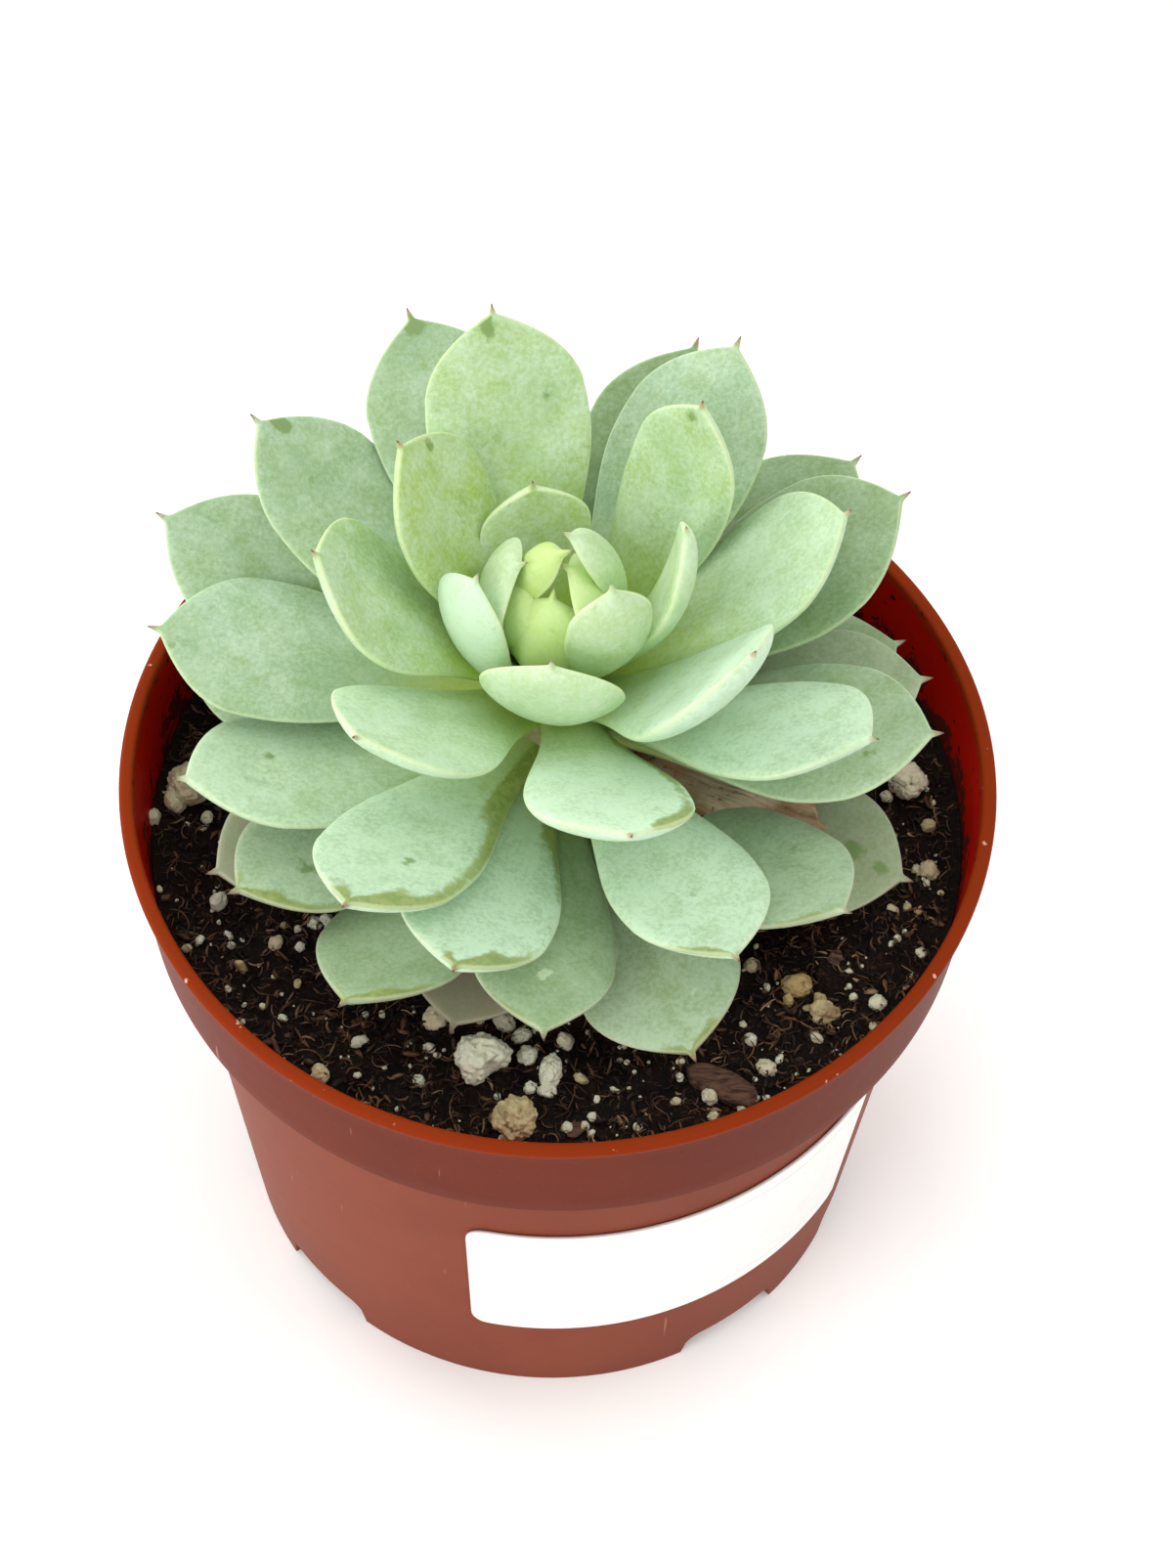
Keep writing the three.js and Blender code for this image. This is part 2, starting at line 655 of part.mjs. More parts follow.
function leafMeshes() {
  const taken = [stemBody(GAP)];
  const meshes = [];
  const whorls = [
    ['heart', HEART_LEAVES],
    ['inner', INNER_LEAVES],
    ['middle', MIDDLE_LEAVES],
    ['outer', OUTER_LEAVES],
    ['lower', LOWER_LEAVES],
    ['dried', DRIED_LEAVES],
  ];
  for (const [whorl, rows] of whorls) {
    rows.forEach((row, i) => {
      const leaf = readLeaf(row, whorl);
      const body = trimmedLeaf(leaf, taken);
      const roughness = whorl === 'dried' ? DRIED_ROUGHNESS : LEAF_ROUGHNESS;
      const material = paint({ colour: leaf.colour, roughness });
      meshes.push(named(`${whorl}_leaf_${i + 1}`, geometryFrom(body), material));
      taken.push(leafSolid(leaf, GAP));
    });
  }
  return meshes;
}

function looseLumps() {
  const lumps = PERLITE_LUMPS.map((lump, i) => named(
    `perlite_lump_${i + 1}`,
    geometryFrom(perliteLump(lump, 0)),
    paint(FINISHES.perlite),
  ));
  lumps.push(named('bark_chip', geometryFrom(barkChip(0)), paint(FINISHES.bark)));
  return lumps;
}

const plant = new THREE.Group();
const soilCutters = PERLITE_LUMPS.map((lump) => perliteLump(lump, GAP));
soilCutters.push(barkChip(GAP), stemBody(GAP));
plant.add(pot(), label(), soil(soilCutters), stem(), ...leafMeshes(), ...looseLumps());

export default plant;
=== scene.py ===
import math

import bmesh
import bpy
import numpy as np
from mathutils import Matrix, Vector


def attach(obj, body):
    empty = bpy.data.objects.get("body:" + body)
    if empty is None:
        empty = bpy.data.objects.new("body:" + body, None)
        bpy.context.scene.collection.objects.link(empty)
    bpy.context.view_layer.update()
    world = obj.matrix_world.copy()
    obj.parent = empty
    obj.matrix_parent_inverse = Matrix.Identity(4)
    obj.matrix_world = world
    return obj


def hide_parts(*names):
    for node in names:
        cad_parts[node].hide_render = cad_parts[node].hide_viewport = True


# A painted lady echeveria in a terracotta-coloured nursery pot.
# Lengths below are in millimetres; meshes are scaled to metres when made.
MM = 0.001

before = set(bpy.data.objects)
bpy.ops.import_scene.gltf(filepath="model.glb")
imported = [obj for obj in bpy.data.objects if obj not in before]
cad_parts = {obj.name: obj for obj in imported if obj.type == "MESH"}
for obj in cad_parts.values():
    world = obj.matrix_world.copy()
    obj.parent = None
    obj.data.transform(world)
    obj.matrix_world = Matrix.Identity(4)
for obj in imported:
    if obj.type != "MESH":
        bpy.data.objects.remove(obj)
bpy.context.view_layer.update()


# ---------------------------------------------------------------- numbers
STEM_X, STEM_Y = -0.5, 6.0

POT_HEIGHT = 84.0
RIM_RADIUS = 54.0
LIP_THICKNESS = 1.8
LIP_DEPTH = 1.4
BAND_HEIGHT = 18.5
BAND_BOTTOM_RADIUS = 51.6
BAND_TOP_RADIUS = 53.3
WALL_TOP_RADIUS = 48.0
FOOT_RADIUS = 41.0
WALL_THICKNESS = 1.2
FLOOR_HEIGHT = 5.0
FLOOR_THICKNESS = 1.4
ARCH_WIDTH = 20.0
ARCH_HEIGHT = 4.5
ARCH_CORNER = 2.5
ARCH_ANGLES = [67.5, 104.5, 187.5, 224.5, 307.5, 344.5]
DRAIN_RADIUS = 4.5
DRAIN_RING_RADIUS = 29.0

LABEL_START, LABEL_END = 258.0, 330.0
LABEL_BOTTOM, LABEL_TOP = 19.5, 50.0
LABEL_CORNER = 3.0

SOIL_LEVEL = 71.0

# Whorl: distance from the stem's middle at which its leaves start, thickness,
# how deeply the blade is cupped, length of the spiny point.
WHORLS = {
    "heart": (1.0, 2.6, 0.34, 1.6),
    "inner": (2.0, 3.6, 0.16, 1.6),
    "middle": (3.5, 4.4, 0.11, 1.3),
    "outer": (4.5, 4.4, 0.10, 1.6),
    "lower": (5.5, 4.0, 0.08, 1.6),
    "dried": (5.5, 1.8, 0.05, 1.5),
}

# Each row: compass angle from +X, slope of the chord, length, width, bend,
# twist, sideways swing, height at which the leaf leaves the stem.
LEAVES = {
    "heart": [
        (256, 86.5, 20.2, 11.8, -90, 0, 0, 98.4),
        (352, 94, 20.5, 12, -108, 12, 0, 101),
        (198, 84, 17.5, 9.5, -118, 0, 0, 101.8),
        (174, 98, 21.5, 6.2, -105, 20, 0, 102.8),
    ],
    "inner": [
        (174, 85, 21.5, 13, -104, 6, -25, 101),
        (16, 94, 27.5, 7, -86, -10, -6, 99),
        (307.5, 72, 28, 10.7, -56, -22, 7, 100.6),
        (106, 63, 24.5, 14, -60, 3, -4, 97.6),
        (200.5, 72, 28, 11.5, -72, 24, -4, 96),
        (3, 67, 33.5, 12.8, -52, -16, 29, 97),
        (269, 62, 28.8, 17.2, -50, -6, 6, 95.2),
    ],
    "middle": [
        (46, 60, 40, 16, -50, -2, 9, 96),
        (323, 51, 40.5, 19, -38, 0, 0, 95),
        (151, 59, 37, 18, -11, 3, 18, 95),
        (106, 45, 42.5, 20.5, -15, 2, -6, 97),
        (185, 44, 36, 20, -34, 1, 4, 98),
        (227, 37, 38, 20, -21, 5, 3, 94),
        (285, 31, 38.5, 19.5, -25, -10, 0, 94),
        (18, 34, 40, 21.5, -29, -16, 0, 94),
    ],
    "outer": [
        (60, 35, 46, 20.5, -14, -11, 0, 91),
        (333, 28, 43, 19.5, -11, -12, -2, 92),
        (241, 22, 47.5, 18.5, -28, 0, 12, 90),
        (115, 25, 48, 20, -11, -4, 3, 92),
        (145, 27, 48, 19, -15, 3, 4, 89),
        (25, 26, 47, 21.5, -13, -5, -4, 88.5),
        (70, 24.3, 47, 20, -11, -2, 0, 88),
        (43, 14.5, 48, 21.5, -10, -5, 0, 85),
        (257, 19, 45.5, 19, -29, -11, 7, 86),
        (298, 13, 44.5, 18, -17, -2, -5, 89),
        (174, 6, 46.5, 20, -16, -4, 5, 91),
        (157, 13, 52, 20, -20, -12, 5, 86),
        (350, 12, 44, 21, -15, -3, 6, 89),
        (199, 9, 44.5, 22, -26, 14, -4, 87),
        (88, 9, 41.5, 19, -6, 0, 0, 87),
        (131, 4, 41, 19, -6, 0, 0, 84),
        (166, 1, 45, 20, -4, 0, 0, 81),
    ],
    "lower": [
        (318, 18, 45, 21, -15, -10, 8, 81),
        (215, 6, 42, 20, -14, 9, 0, 82),
        (10, 4, 42, 19, 0, 0, 2, 83.5),
        (240.7, 9, 45, 20, -20, 16, -5, 81),
        (270, 8, 42.5, 17.5, -1, -6, 5, 83),
        (292, -2, 43, 20.5, -12, 10, 0, 82),
        (338, 4, 42.5, 20, -4, 4, 0, 77),
        (21, 4, 41.5, 20, 2, -2, 6, 79.5),
        (207, 8.5, 42, 20, -4, 0, 0, 75.5),
        (254, -1, 36, 17, -4, 0, 0, 77.5),
        (72, 6, 40, 19, -4, 0, 0, 82),
        (104, 4, 39, 19, -4, 0, 0, 81),
        (147, -3, 40, 19, -4, 0, 0, 77.5),
    ],
    "dried": [
        (338, -2, 31, 12, 8, 12, 6, 85.5),
    ],
}

# Worn places on leaves: kind, share of the length, share of the half width
# (positive towards growing compass angle), size along and across in mm,
# strength. An "edge" is a bare olive strip: its first size is its depth.
MARKS = {
    "middle": {
        1: [("rub", 0.93, 0.1, 1.1, 1, 0.7), ("rub", 0.66, -0.3, 0.7, 0.7, 0.7)],
        3: [("rub", 0.88, -0.4, 1.1, 0.9, 0.8)],
        4: [("rub", 0.94, 0.1, 2.4, 0.9, 1.1), ("rub", 0.72, -0.5, 1, 0.8, 0.7),
            ("rub", 0.55, 0.1, 3, 1.5, 0.35), ("pale", 0.6, 0.1, 1.2, 0.7, 0.9)],
        7: [("edge", 0.9, 0.62, 1.6, 3, 1.5)],
    },
    "outer": {
        2: [("rub", 0.6, 0.3, 1.6, 0.8, 0.5)],
        3: [("edge", 0.92, 0.35, 2, 6, 1.5), ("rub", 0.7, 0.2, 1.3, 0.6, 0.8),
            ("pale", 0.72, -0.1, 1, 0.6, 0.6)],
        4: [("rub", 0.95, 0, 1.5, 1.5, 1.2)],
        5: [("rub", 0.93, -0.2, 1.9, 1.2, 1.2), ("rub", 0.7, 0.2, 3, 2, 0.35)],
        9: [("edge", 0.92, 0.3, 1.7, 5, 1.4), ("rub", 0.74, -0.3, 1.2, 0.8, 0.6)],
        10: [("rub", 0.72, 0.05, 1.8, 0.6, 0.9), ("rub", 0.64, 0.3, 1, 0.6, 0.8),
             ("edge", 0.93, -0.3, 0.7, 4, 1), ("warm", 0.86, 0.1, 3, 4, 0.5)],
        11: [("rub", 0.93, 0.2, 1.2, 1, 0.6)],
        13: [("rub", 0.8, -0.3, 1.2, 0.9, 0.8), ("pale", 0.7, 0.2, 0.8, 0.6, 0.7)],
        14: [("rub", 0.8, 0.1, 1.6, 0.9, 0.8), ("rub", 0.72, -0.2, 1, 0.8, 0.8)],
    },
    "lower": {
        1: [("rub", 0.7, 0.45, 2.2, 0.9, 0.7), ("edge", 0.92, -0.4, 0.8, 4, 0.8)],
        2: [("rub", 0.76, 0.15, 1.2, 1.6, 1), ("edge", 0.92, 0.4, 1.3, 6, 1.2)],
        4: [("edge", 0.93, 0.35, 1.1, 5, 1.2), ("pale", 0.7, -0.4, 0.8, 0.6, 0.7)],
        5: [("pale", 0.78, 0, 0.9, 0.8, 1.2), ("edge", 0.9, -0.5, 0.7, 3, 0.8)],
        6: [("warm", 0.72, 0, 5, 3.4, 1), ("edge", 0.93, 0.1, 1, 5, 1),
            ("pale", 0.6, -0.4, 0.9, 0.8, 1.1), ("pale", 0.8, 0.3, 0.6, 0.5, 0.9)],
        7: [("rub", 0.8, 0.1, 2, 1.3, 1.2), ("rub", 0.9, 0, 1.1, 0.9, 1.1),
            ("rub", 0.72, -0.35, 1, 0.8, 0.9)],
    },
}

# Big lumps of white perlite that are nodes of the frame: x, y, size across.
PERLITE_LUMPS = [
    (-8, -35, 7.5), (0.3, -36, 5), (-3.8, -43.3, 6), (-46.5, 3.5, 6), (44, 8, 5.5),
]
# How tan each of them is, from 0 (cream-white) to 1.
PERLITE_TINTS = (0.0, 0.0, 0.75, 0.5, 0.25)

# Smaller grains seen on the soil: x, y, size across, how tan.
PERLITE_GRAINS = [
    (-41.5, -13, 2.7, 0), (-40, -17.5, 1.4, 0), (-39.5, -19, 1.2, 0.1), (-43.5, -18.5, 1.7, 0),
    (-45, -19.5, 1.3, 0.6), (-34, -19, 2.4, 0.5), (-38, -22.5, 1.8, 0.8), (-31, -19.5, 1.6, 0),
    (-31, -24.5, 1.3, 0.7), (-39.5, -25, 1.2, 0.1), (-32.5, -29, 1.3, 0), (-29.5, -15.5, 2.2, 0),
    (-28, -15, 2.2, 0), (-31.5, -16.5, 1.4, 0.1), (-23, -32.5, 2, 0), (-22.5, -28, 1, 0),
    (-23, -37, 1.2, 0), (-27.5, -37, 2.6, 0.6), (-49, -11, 1, 0.3), (-33.5, -26, 0.7, 0.2),
    (-50.5, -0.5, 2.2, 0.3), (-44, 0, 2, 0.2), (-46, 3, 2.5, 0.3), (-48, 1.5, 3.4, 0.45),
    (-3.5, -30.5, 2.8, 0), (-2.5, -33.5, 2.8, 0), (0, -38.5, 2.7, 0), (-2, -38, 2, 0),
    (-14, -29, 3.4, 0.4), (-14.5, -32.5, 1.9, 0), (-13.5, -33.5, 1.1, 0), (4, -36.5, 2.1, 0.7),
    (-15.5, -37, 1.9, 0), (-5.5, -28.5, 2.9, 0.15), (2, -31, 2.3, 0.3), (30, -22.5, 4.1, 0.9),
    (24.5, -19.5, 2.4, 0.6), (24.5, -30, 2, 0.1), (26.5, -34, 2.8, 0.35), (19.5, -38.5, 2.4, 0.3),
    (23.5, -39.5, 1.8, 0.3), (25, -38, 1.5, 0.3), (15.5, -39.5, 1.4, 0.6), (16, -33.5, 1.3, 0.1),
    (16, -35.5, 1.4, 0.1), (11, -43, 1.4, 0.1), (2.5, -43, 1.4, 0.3), (5.5, -41.5, 1.2, 0.1),
    (5.5, -43.5, 1.2, 0.1), (-5, -45, 1.5, 0.3), (-6, -39, 1.2, 0), (6, -39, 1.1, 0.1),
    (8, -37.5, 0.9, 0.2), (8.5, -38, 0.8, 0.2), (9.5, -34, 0.9, 0.3), (20, -41, 1.8, 0.4),
    (-9.5, -26.5, 1, 0), (-8.5, -28, 1.9, 0.3), (41.5, 6.5, 2.2, 0.2), (46.5, 2, 2.2, 0.7),
    (46.5, -4.5, 2.9, 0.6), (45, -4, 1.5, 0.5), (42, -10.5, 1.7, 0.5), (43.5, -13.5, 1, 0.1),
    (42.5, -15, 1.1, 0.1), (45.5, -16.5, 1.4, 0.2), (33.5, -26, 3.8, 0.75), (33, -24, 2.2, 0.8),
    (37, -23.5, 1.4, 0.2), (40, -24.5, 2.5, 0.2), (39.5, -27.5, 1.4, 0.4), (32.5, -29.5, 1.9, 0.3),
    (26.5, -38, 1.1, 0.2), (36.5, -20, 1, 0.1), (36.5, -22, 1.1, 0.1), (31.5, -25, 1.4, 0.8),
    (23.5, -28, 1.2, 0.3), (29, -24.5, 1.9, 0.9),
]

# How pale (or, below 0, how dark) each leaf is made, partly its own depth of powdery
# bloom and partly painted light and shade; how much yellow shows through; how withered it is.
LEAF_TONES = {
    "heart": {1: (0.2, 0, 0)},
    "inner": {
        3: (-0.35, 0.3, 0), 4: (0.05, 0.4, 0), 5: (0.9, 0, 0), 6: (0.15, 0, 0), 7: (0.1, 0, 0),
    },
    "middle": {
        1: (0.2, 0.2, 0), 2: (0.9, 0, 0), 3: (-0.15, 0.9, 0), 4: (0, 0.2, 0), 5: (0, 0.2, 0),
        6: (0.45, 0, 0), 7: (0.9, 0, 0), 8: (0.4, 0.1, 0),
    },
    "outer": {
        1: (0, 0, 0), 2: (0.6, 0, 0), 3: (0.5, 0, 0), 4: (-0.35, 0.1, 0), 5: (-0.15, 0.1, 0),
        6: (-0.65, 0.2, 0), 7: (-0.9, 0.2, 0), 8: (-0.75, 0, 0), 9: (0.9, 0, 0), 10: (0.7, 0, 0),
        11: (0, 0, 0), 12: (-0.25, 0.1, 0), 13: (0.05, 0.1, 0.1), 14: (0.4, 0.2, 0),
    },
    "lower": {
        1: (0.4, 0, 0), 2: (0.4, 0, 0), 3: (0.25, 0.2, 0.2), 4: (0.2, 0.1, 0), 5: (0.25, 0.2, 0),
        6: (0.45, 0.6, 0), 7: (0.15, 0.1, 0.3), 9: (0, 0, 0.7), 10: (-0.3, 0, 0.9),
    },
}


# ---------------------------------------------------------------- helpers
def srgb(*channels):
    """Linear colour from 0-255 sRGB."""
    shares = [v / 255.0 for v in channels]
    return (*(v / 12.92 if v <= 0.04045 else ((v + 0.055) / 1.055) ** 2.4 for v in shares), 1.0)


def hash_lattice(ix, iy, iz, seed):
    n = (ix * 374761393 + iy * 668265263 + iz * 1440662683 + seed * 982451653) & 0xFFFFFFFF
    n = ((n ^ (n >> 13)) * 1274126177) & 0xFFFFFFFF
    return (n ^ (n >> 16)) / 2147483648.0 - 1.0


def noise3(p, seed=0):
    """Smooth value noise in -1..1 at points p of shape (n, 3)."""
    cell = np.floor(p).astype(np.int64)
    f = p - cell
    u = f * f * (3 - 2 * f)
    total = 0.0
    for corner in np.ndindex(2, 2, 2):
        weight = np.prod(np.where(corner, u, 1 - u), axis=1)
        total = total + weight * hash_lattice(*(cell + corner).T, seed)
    return total


def cells3(p, seed=0):
    """Distance to the nearest scattered point, about 0..1."""
    home = np.floor(p).astype(np.int64)
    best = np.full(len(p), 9.0)
    for step in np.ndindex(3, 3, 3):
        cell = home + step - 1
        near = np.stack([hash_lattice(*cell.T, seed + 7 * k) for k in range(3)], -1)
        near = cell + 0.5 + 0.45 * near
        best = np.minimum(best, np.linalg.norm(near - p, axis=1))
    return best


def direction(rise, turn):
    """Unit vectors at a slope and a compass angle, in radians."""
    return np.stack([np.cos(rise) * np.cos(turn), np.cos(rise) * np.sin(turn),
                     np.sin(rise) + 0 * turn], -1)


def make_mesh(name, points, faces, attributes=None, smooth=True):
    """Mesh object at the origin from millimetre points."""
    mesh = bpy.data.meshes.new(name)
    points = np.asarray(points, float) * MM
    mesh.from_pydata(points.tolist(), [], [list(map(int, f)) for f in faces])
    mesh.validate()
    for key, values in (attributes or {}).items():
        values = np.asarray(values, np.float32)
        kind, field = ("FLOAT_VECTOR", "vector") if values.ndim == 2 else ("FLOAT", "value")
        layer = mesh.attributes.new(key, kind, "POINT")
        layer.data.foreach_set(field, values.reshape(-1))
    mesh.polygons.foreach_set("use_smooth", [smooth] * len(mesh.polygons))
    mesh.update()
    obj = bpy.data.objects.new(name, mesh)
    bpy.context.scene.collection.objects.link(obj)
    return obj


def piece(obj, material, slot, *nodes):
    """Gives an object its material, rides it on the pot and plant, replaces nodes."""
    obj.data.materials.append(material)
    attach(obj, "root")
    if nodes:
        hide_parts(*nodes)


def grid_faces(rows, columns, wrap=True):
    """Quads between neighbouring rows of a grid; wrap closes each row."""
    r = np.arange(rows - 1)[:, None]
    c = np.arange(columns if wrap else columns - 1)[None, :]
    a = r * columns + c
    b = r * columns + (c + 1) % columns
    return np.stack([a, b, b + columns, a + columns], -1).reshape(-1, 4)


def border(rows, columns):
    """Numbers of the outermost points of an open grid, once round."""
    ring = list(range(columns))
    ring += [r * columns + columns - 1 for r in range(1, rows)]
    ring += [(rows - 1) * columns + c for c in range(columns - 2, -1, -1)]
    return ring + [r * columns for r in range(rows - 2, 0, -1)]


def band(one, two):
    """Quads between two rings of points."""
    return [[a, b, d, c] for a, b, c, d in zip(one, one[1:] + one[:1], two, two[1:] + two[:1])]


def fan(ring, centre):
    """Triangles between a ring of points and one more point."""
    return [[a, b, centre] for a, b in zip(ring, ring[1:] + ring[:1])]


def rounded(points, steps=5):
    """Polyline of (x, y, corner radius) with its corners rounded."""
    out = []
    for k, (x, y, radius) in enumerate(points):
        here = np.array([x, y])
        if radius <= 0 or k in (0, len(points) - 1):
            out.append(here)
            continue
        before = np.array(points[k - 1][:2]) - here
        after = np.array(points[k + 1][:2]) - here
        lb, la = np.linalg.norm(before), np.linalg.norm(after)
        reach = min(radius, lb * 0.5, la * 0.5)
        a = here + before / lb * reach
        b = here + after / la * reach
        out += [(1 - s) ** 2 * a + 2 * s * (1 - s) * here + s * s * b
                for s in np.linspace(0, 1, steps)]
    return np.array(out)


def refine(line, longest):
    """Splits long stretches of a polyline."""
    out = [line[0]]
    for a, b in zip(line[:-1], line[1:]):
        parts = max(1, math.ceil(np.linalg.norm(b - a) / longest))
        out += [a + (b - a) * k / parts for k in range(1, parts + 1)]
    return np.array(out)


# ---------------------------------------------------------------- node trees
class Tree:
    """A short way to write a material's nodes."""

    def __init__(self, name):
        self.material = bpy.data.materials.new(name)
        self.material.use_nodes = True
        self.tree = self.material.node_tree
        self.tree.nodes.clear()
        self.shader = self.node("BsdfPrincipled")
        self.node("OutputMaterial", {"Surface": self.shader.outputs[0]})
        self.where = self.node("TexCoord").outputs["Object"]

    def node(self, kind, inputs=None, **settings):
        node = self.tree.nodes.new("ShaderNode" + kind)
        for key, value in settings.items():
            setattr(node, key, value)
        for key, value in (inputs or {}).items():
            self.put(node.inputs[key], value)
        return node

    def put(self, socket, value):
        if isinstance(value, bpy.types.NodeSocket):
            self.tree.links.new(value, socket)
        else:
            socket.default_value = value

    def attribute(self, name, output="Fac"):
        return self.node("Attribute", attribute_name=name).outputs[output]

    def height(self):
        return self.node("SeparateXYZ", {0: self.where}).outputs[2]

    def noise(self, scale, detail=3.0, rough=0.55, warp=0.0, where=None):
        return self.node("TexNoise", {"Vector": where or self.where, "Scale": scale,
                                      "Detail": detail, "Roughness": rough,
                                      "Distortion": warp}).outputs["Fac"]

    def grain(self, scale, detail, rough, turn=(0, 0, 0), where=None):
        """Noise stretched by a different scale along each axis."""
        mapped = self.node("Mapping", {"Vector": where or self.where, "Scale": scale,
                                       "Rotation": turn}).outputs["Vector"]
        return self.noise(1.0, detail, rough, where=mapped)

    def math(self, kind, a, b, clamp=False):
        return self.node("Math", {0: a, 1: b}, operation=kind, use_clamp=clamp).outputs[0]

    def times(self, a, b):
        return self.math("MULTIPLY", a, b)

    def plus(self, a, b):
        return self.math("ADD", a, b)

    def shake(self, value, noise, amount):
        """A value with some noise around 0.5 added to it."""
        return self.plus(value, self.times(self.math("SUBTRACT", noise, 0.5), amount))

    def fade(self, value, low, high, to_low=0.0, to_high=1.0):
        """Smooth step of value from low to high."""
        return self.node("MapRange", {"Value": value, "From Min": low, "From Max": high,
                                      "To Min": to_low, "To Max": to_high},
                         interpolation_type="SMOOTHSTEP").outputs["Result"]

    def mix(self, share, a, b, kind="MIX"):
        return self.node("Mix", {0: share, 6: a, 7: b}, data_type="RGBA",
                         blend_type=kind).outputs[2]

    def blend(self, share, a, b):
        return self.mix(share, srgb(*a), srgb(*b))

    def paint(self, colour, mask, strength, *paint):
        """Lays an sRGB colour over another where the mask is on."""
        share = mask if strength == 1 else self.times(mask, strength)
        return self.mix(share, colour, srgb(*paint))

    def bumps(self, *layers):
        """Relief from layers of height, strength and distance."""
        normal = None
        for height, strength, distance in layers:
            inputs = {"Height": height, "Strength": strength, "Distance": distance}
            if normal is not None:
                inputs["Normal"] = normal
            normal = self.node("Bump", inputs).outputs["Normal"]
        return normal

    def finish(self, colour, roughness, *layers, **uniform):
        inputs = {"Base Color": colour, "Roughness": roughness}
        if layers:
            inputs["Normal"] = self.bumps(*layers)
        inputs.update((key.replace("_", " "), value) for key, value in uniform.items())
        for key, value in inputs.items():
            self.put(self.shader.inputs[key], value)
        return self.material


# ---------------------------------------------------------------- materials
# Leaf colours: at the base, on the blade, of the powdery bloom, of the margin,
# how much bloom, how far the yellow base reaches, and the spiny point.
LEAF_FINISH = {
    "heart": dict(base=(172, 202, 60), blade=(194, 222, 116), bloom=(212, 228, 182),
                  margin=(222, 234, 184), powder=0.3, reach=0.9, point=(176, 168, 112)),
    "inner": dict(base=(176, 204, 72), blade=(174, 206, 142), bloom=(214, 232, 206),
                  margin=(220, 233, 188), powder=0.55, reach=0.7, point=(170, 156, 108)),
    "middle": dict(base=(170, 196, 58), blade=(156, 188, 135), bloom=(204, 227, 200),
                   margin=(210, 226, 174), powder=0.5, reach=0.62, point=(168, 104, 84)),
    "outer": dict(base=(156, 178, 76), blade=(147, 178, 136), bloom=(196, 218, 196),
                  margin=(200, 216, 172), powder=0.5, reach=0.5, point=(150, 96, 84)),
    "lower": dict(base=(136, 160, 86), blade=(133, 159, 116), bloom=(176, 194, 164),
                  margin=(190, 192, 166), powder=0.45, reach=0.42, point=(140, 100, 88)),
}
BARE_GREEN = (112, 142, 78)


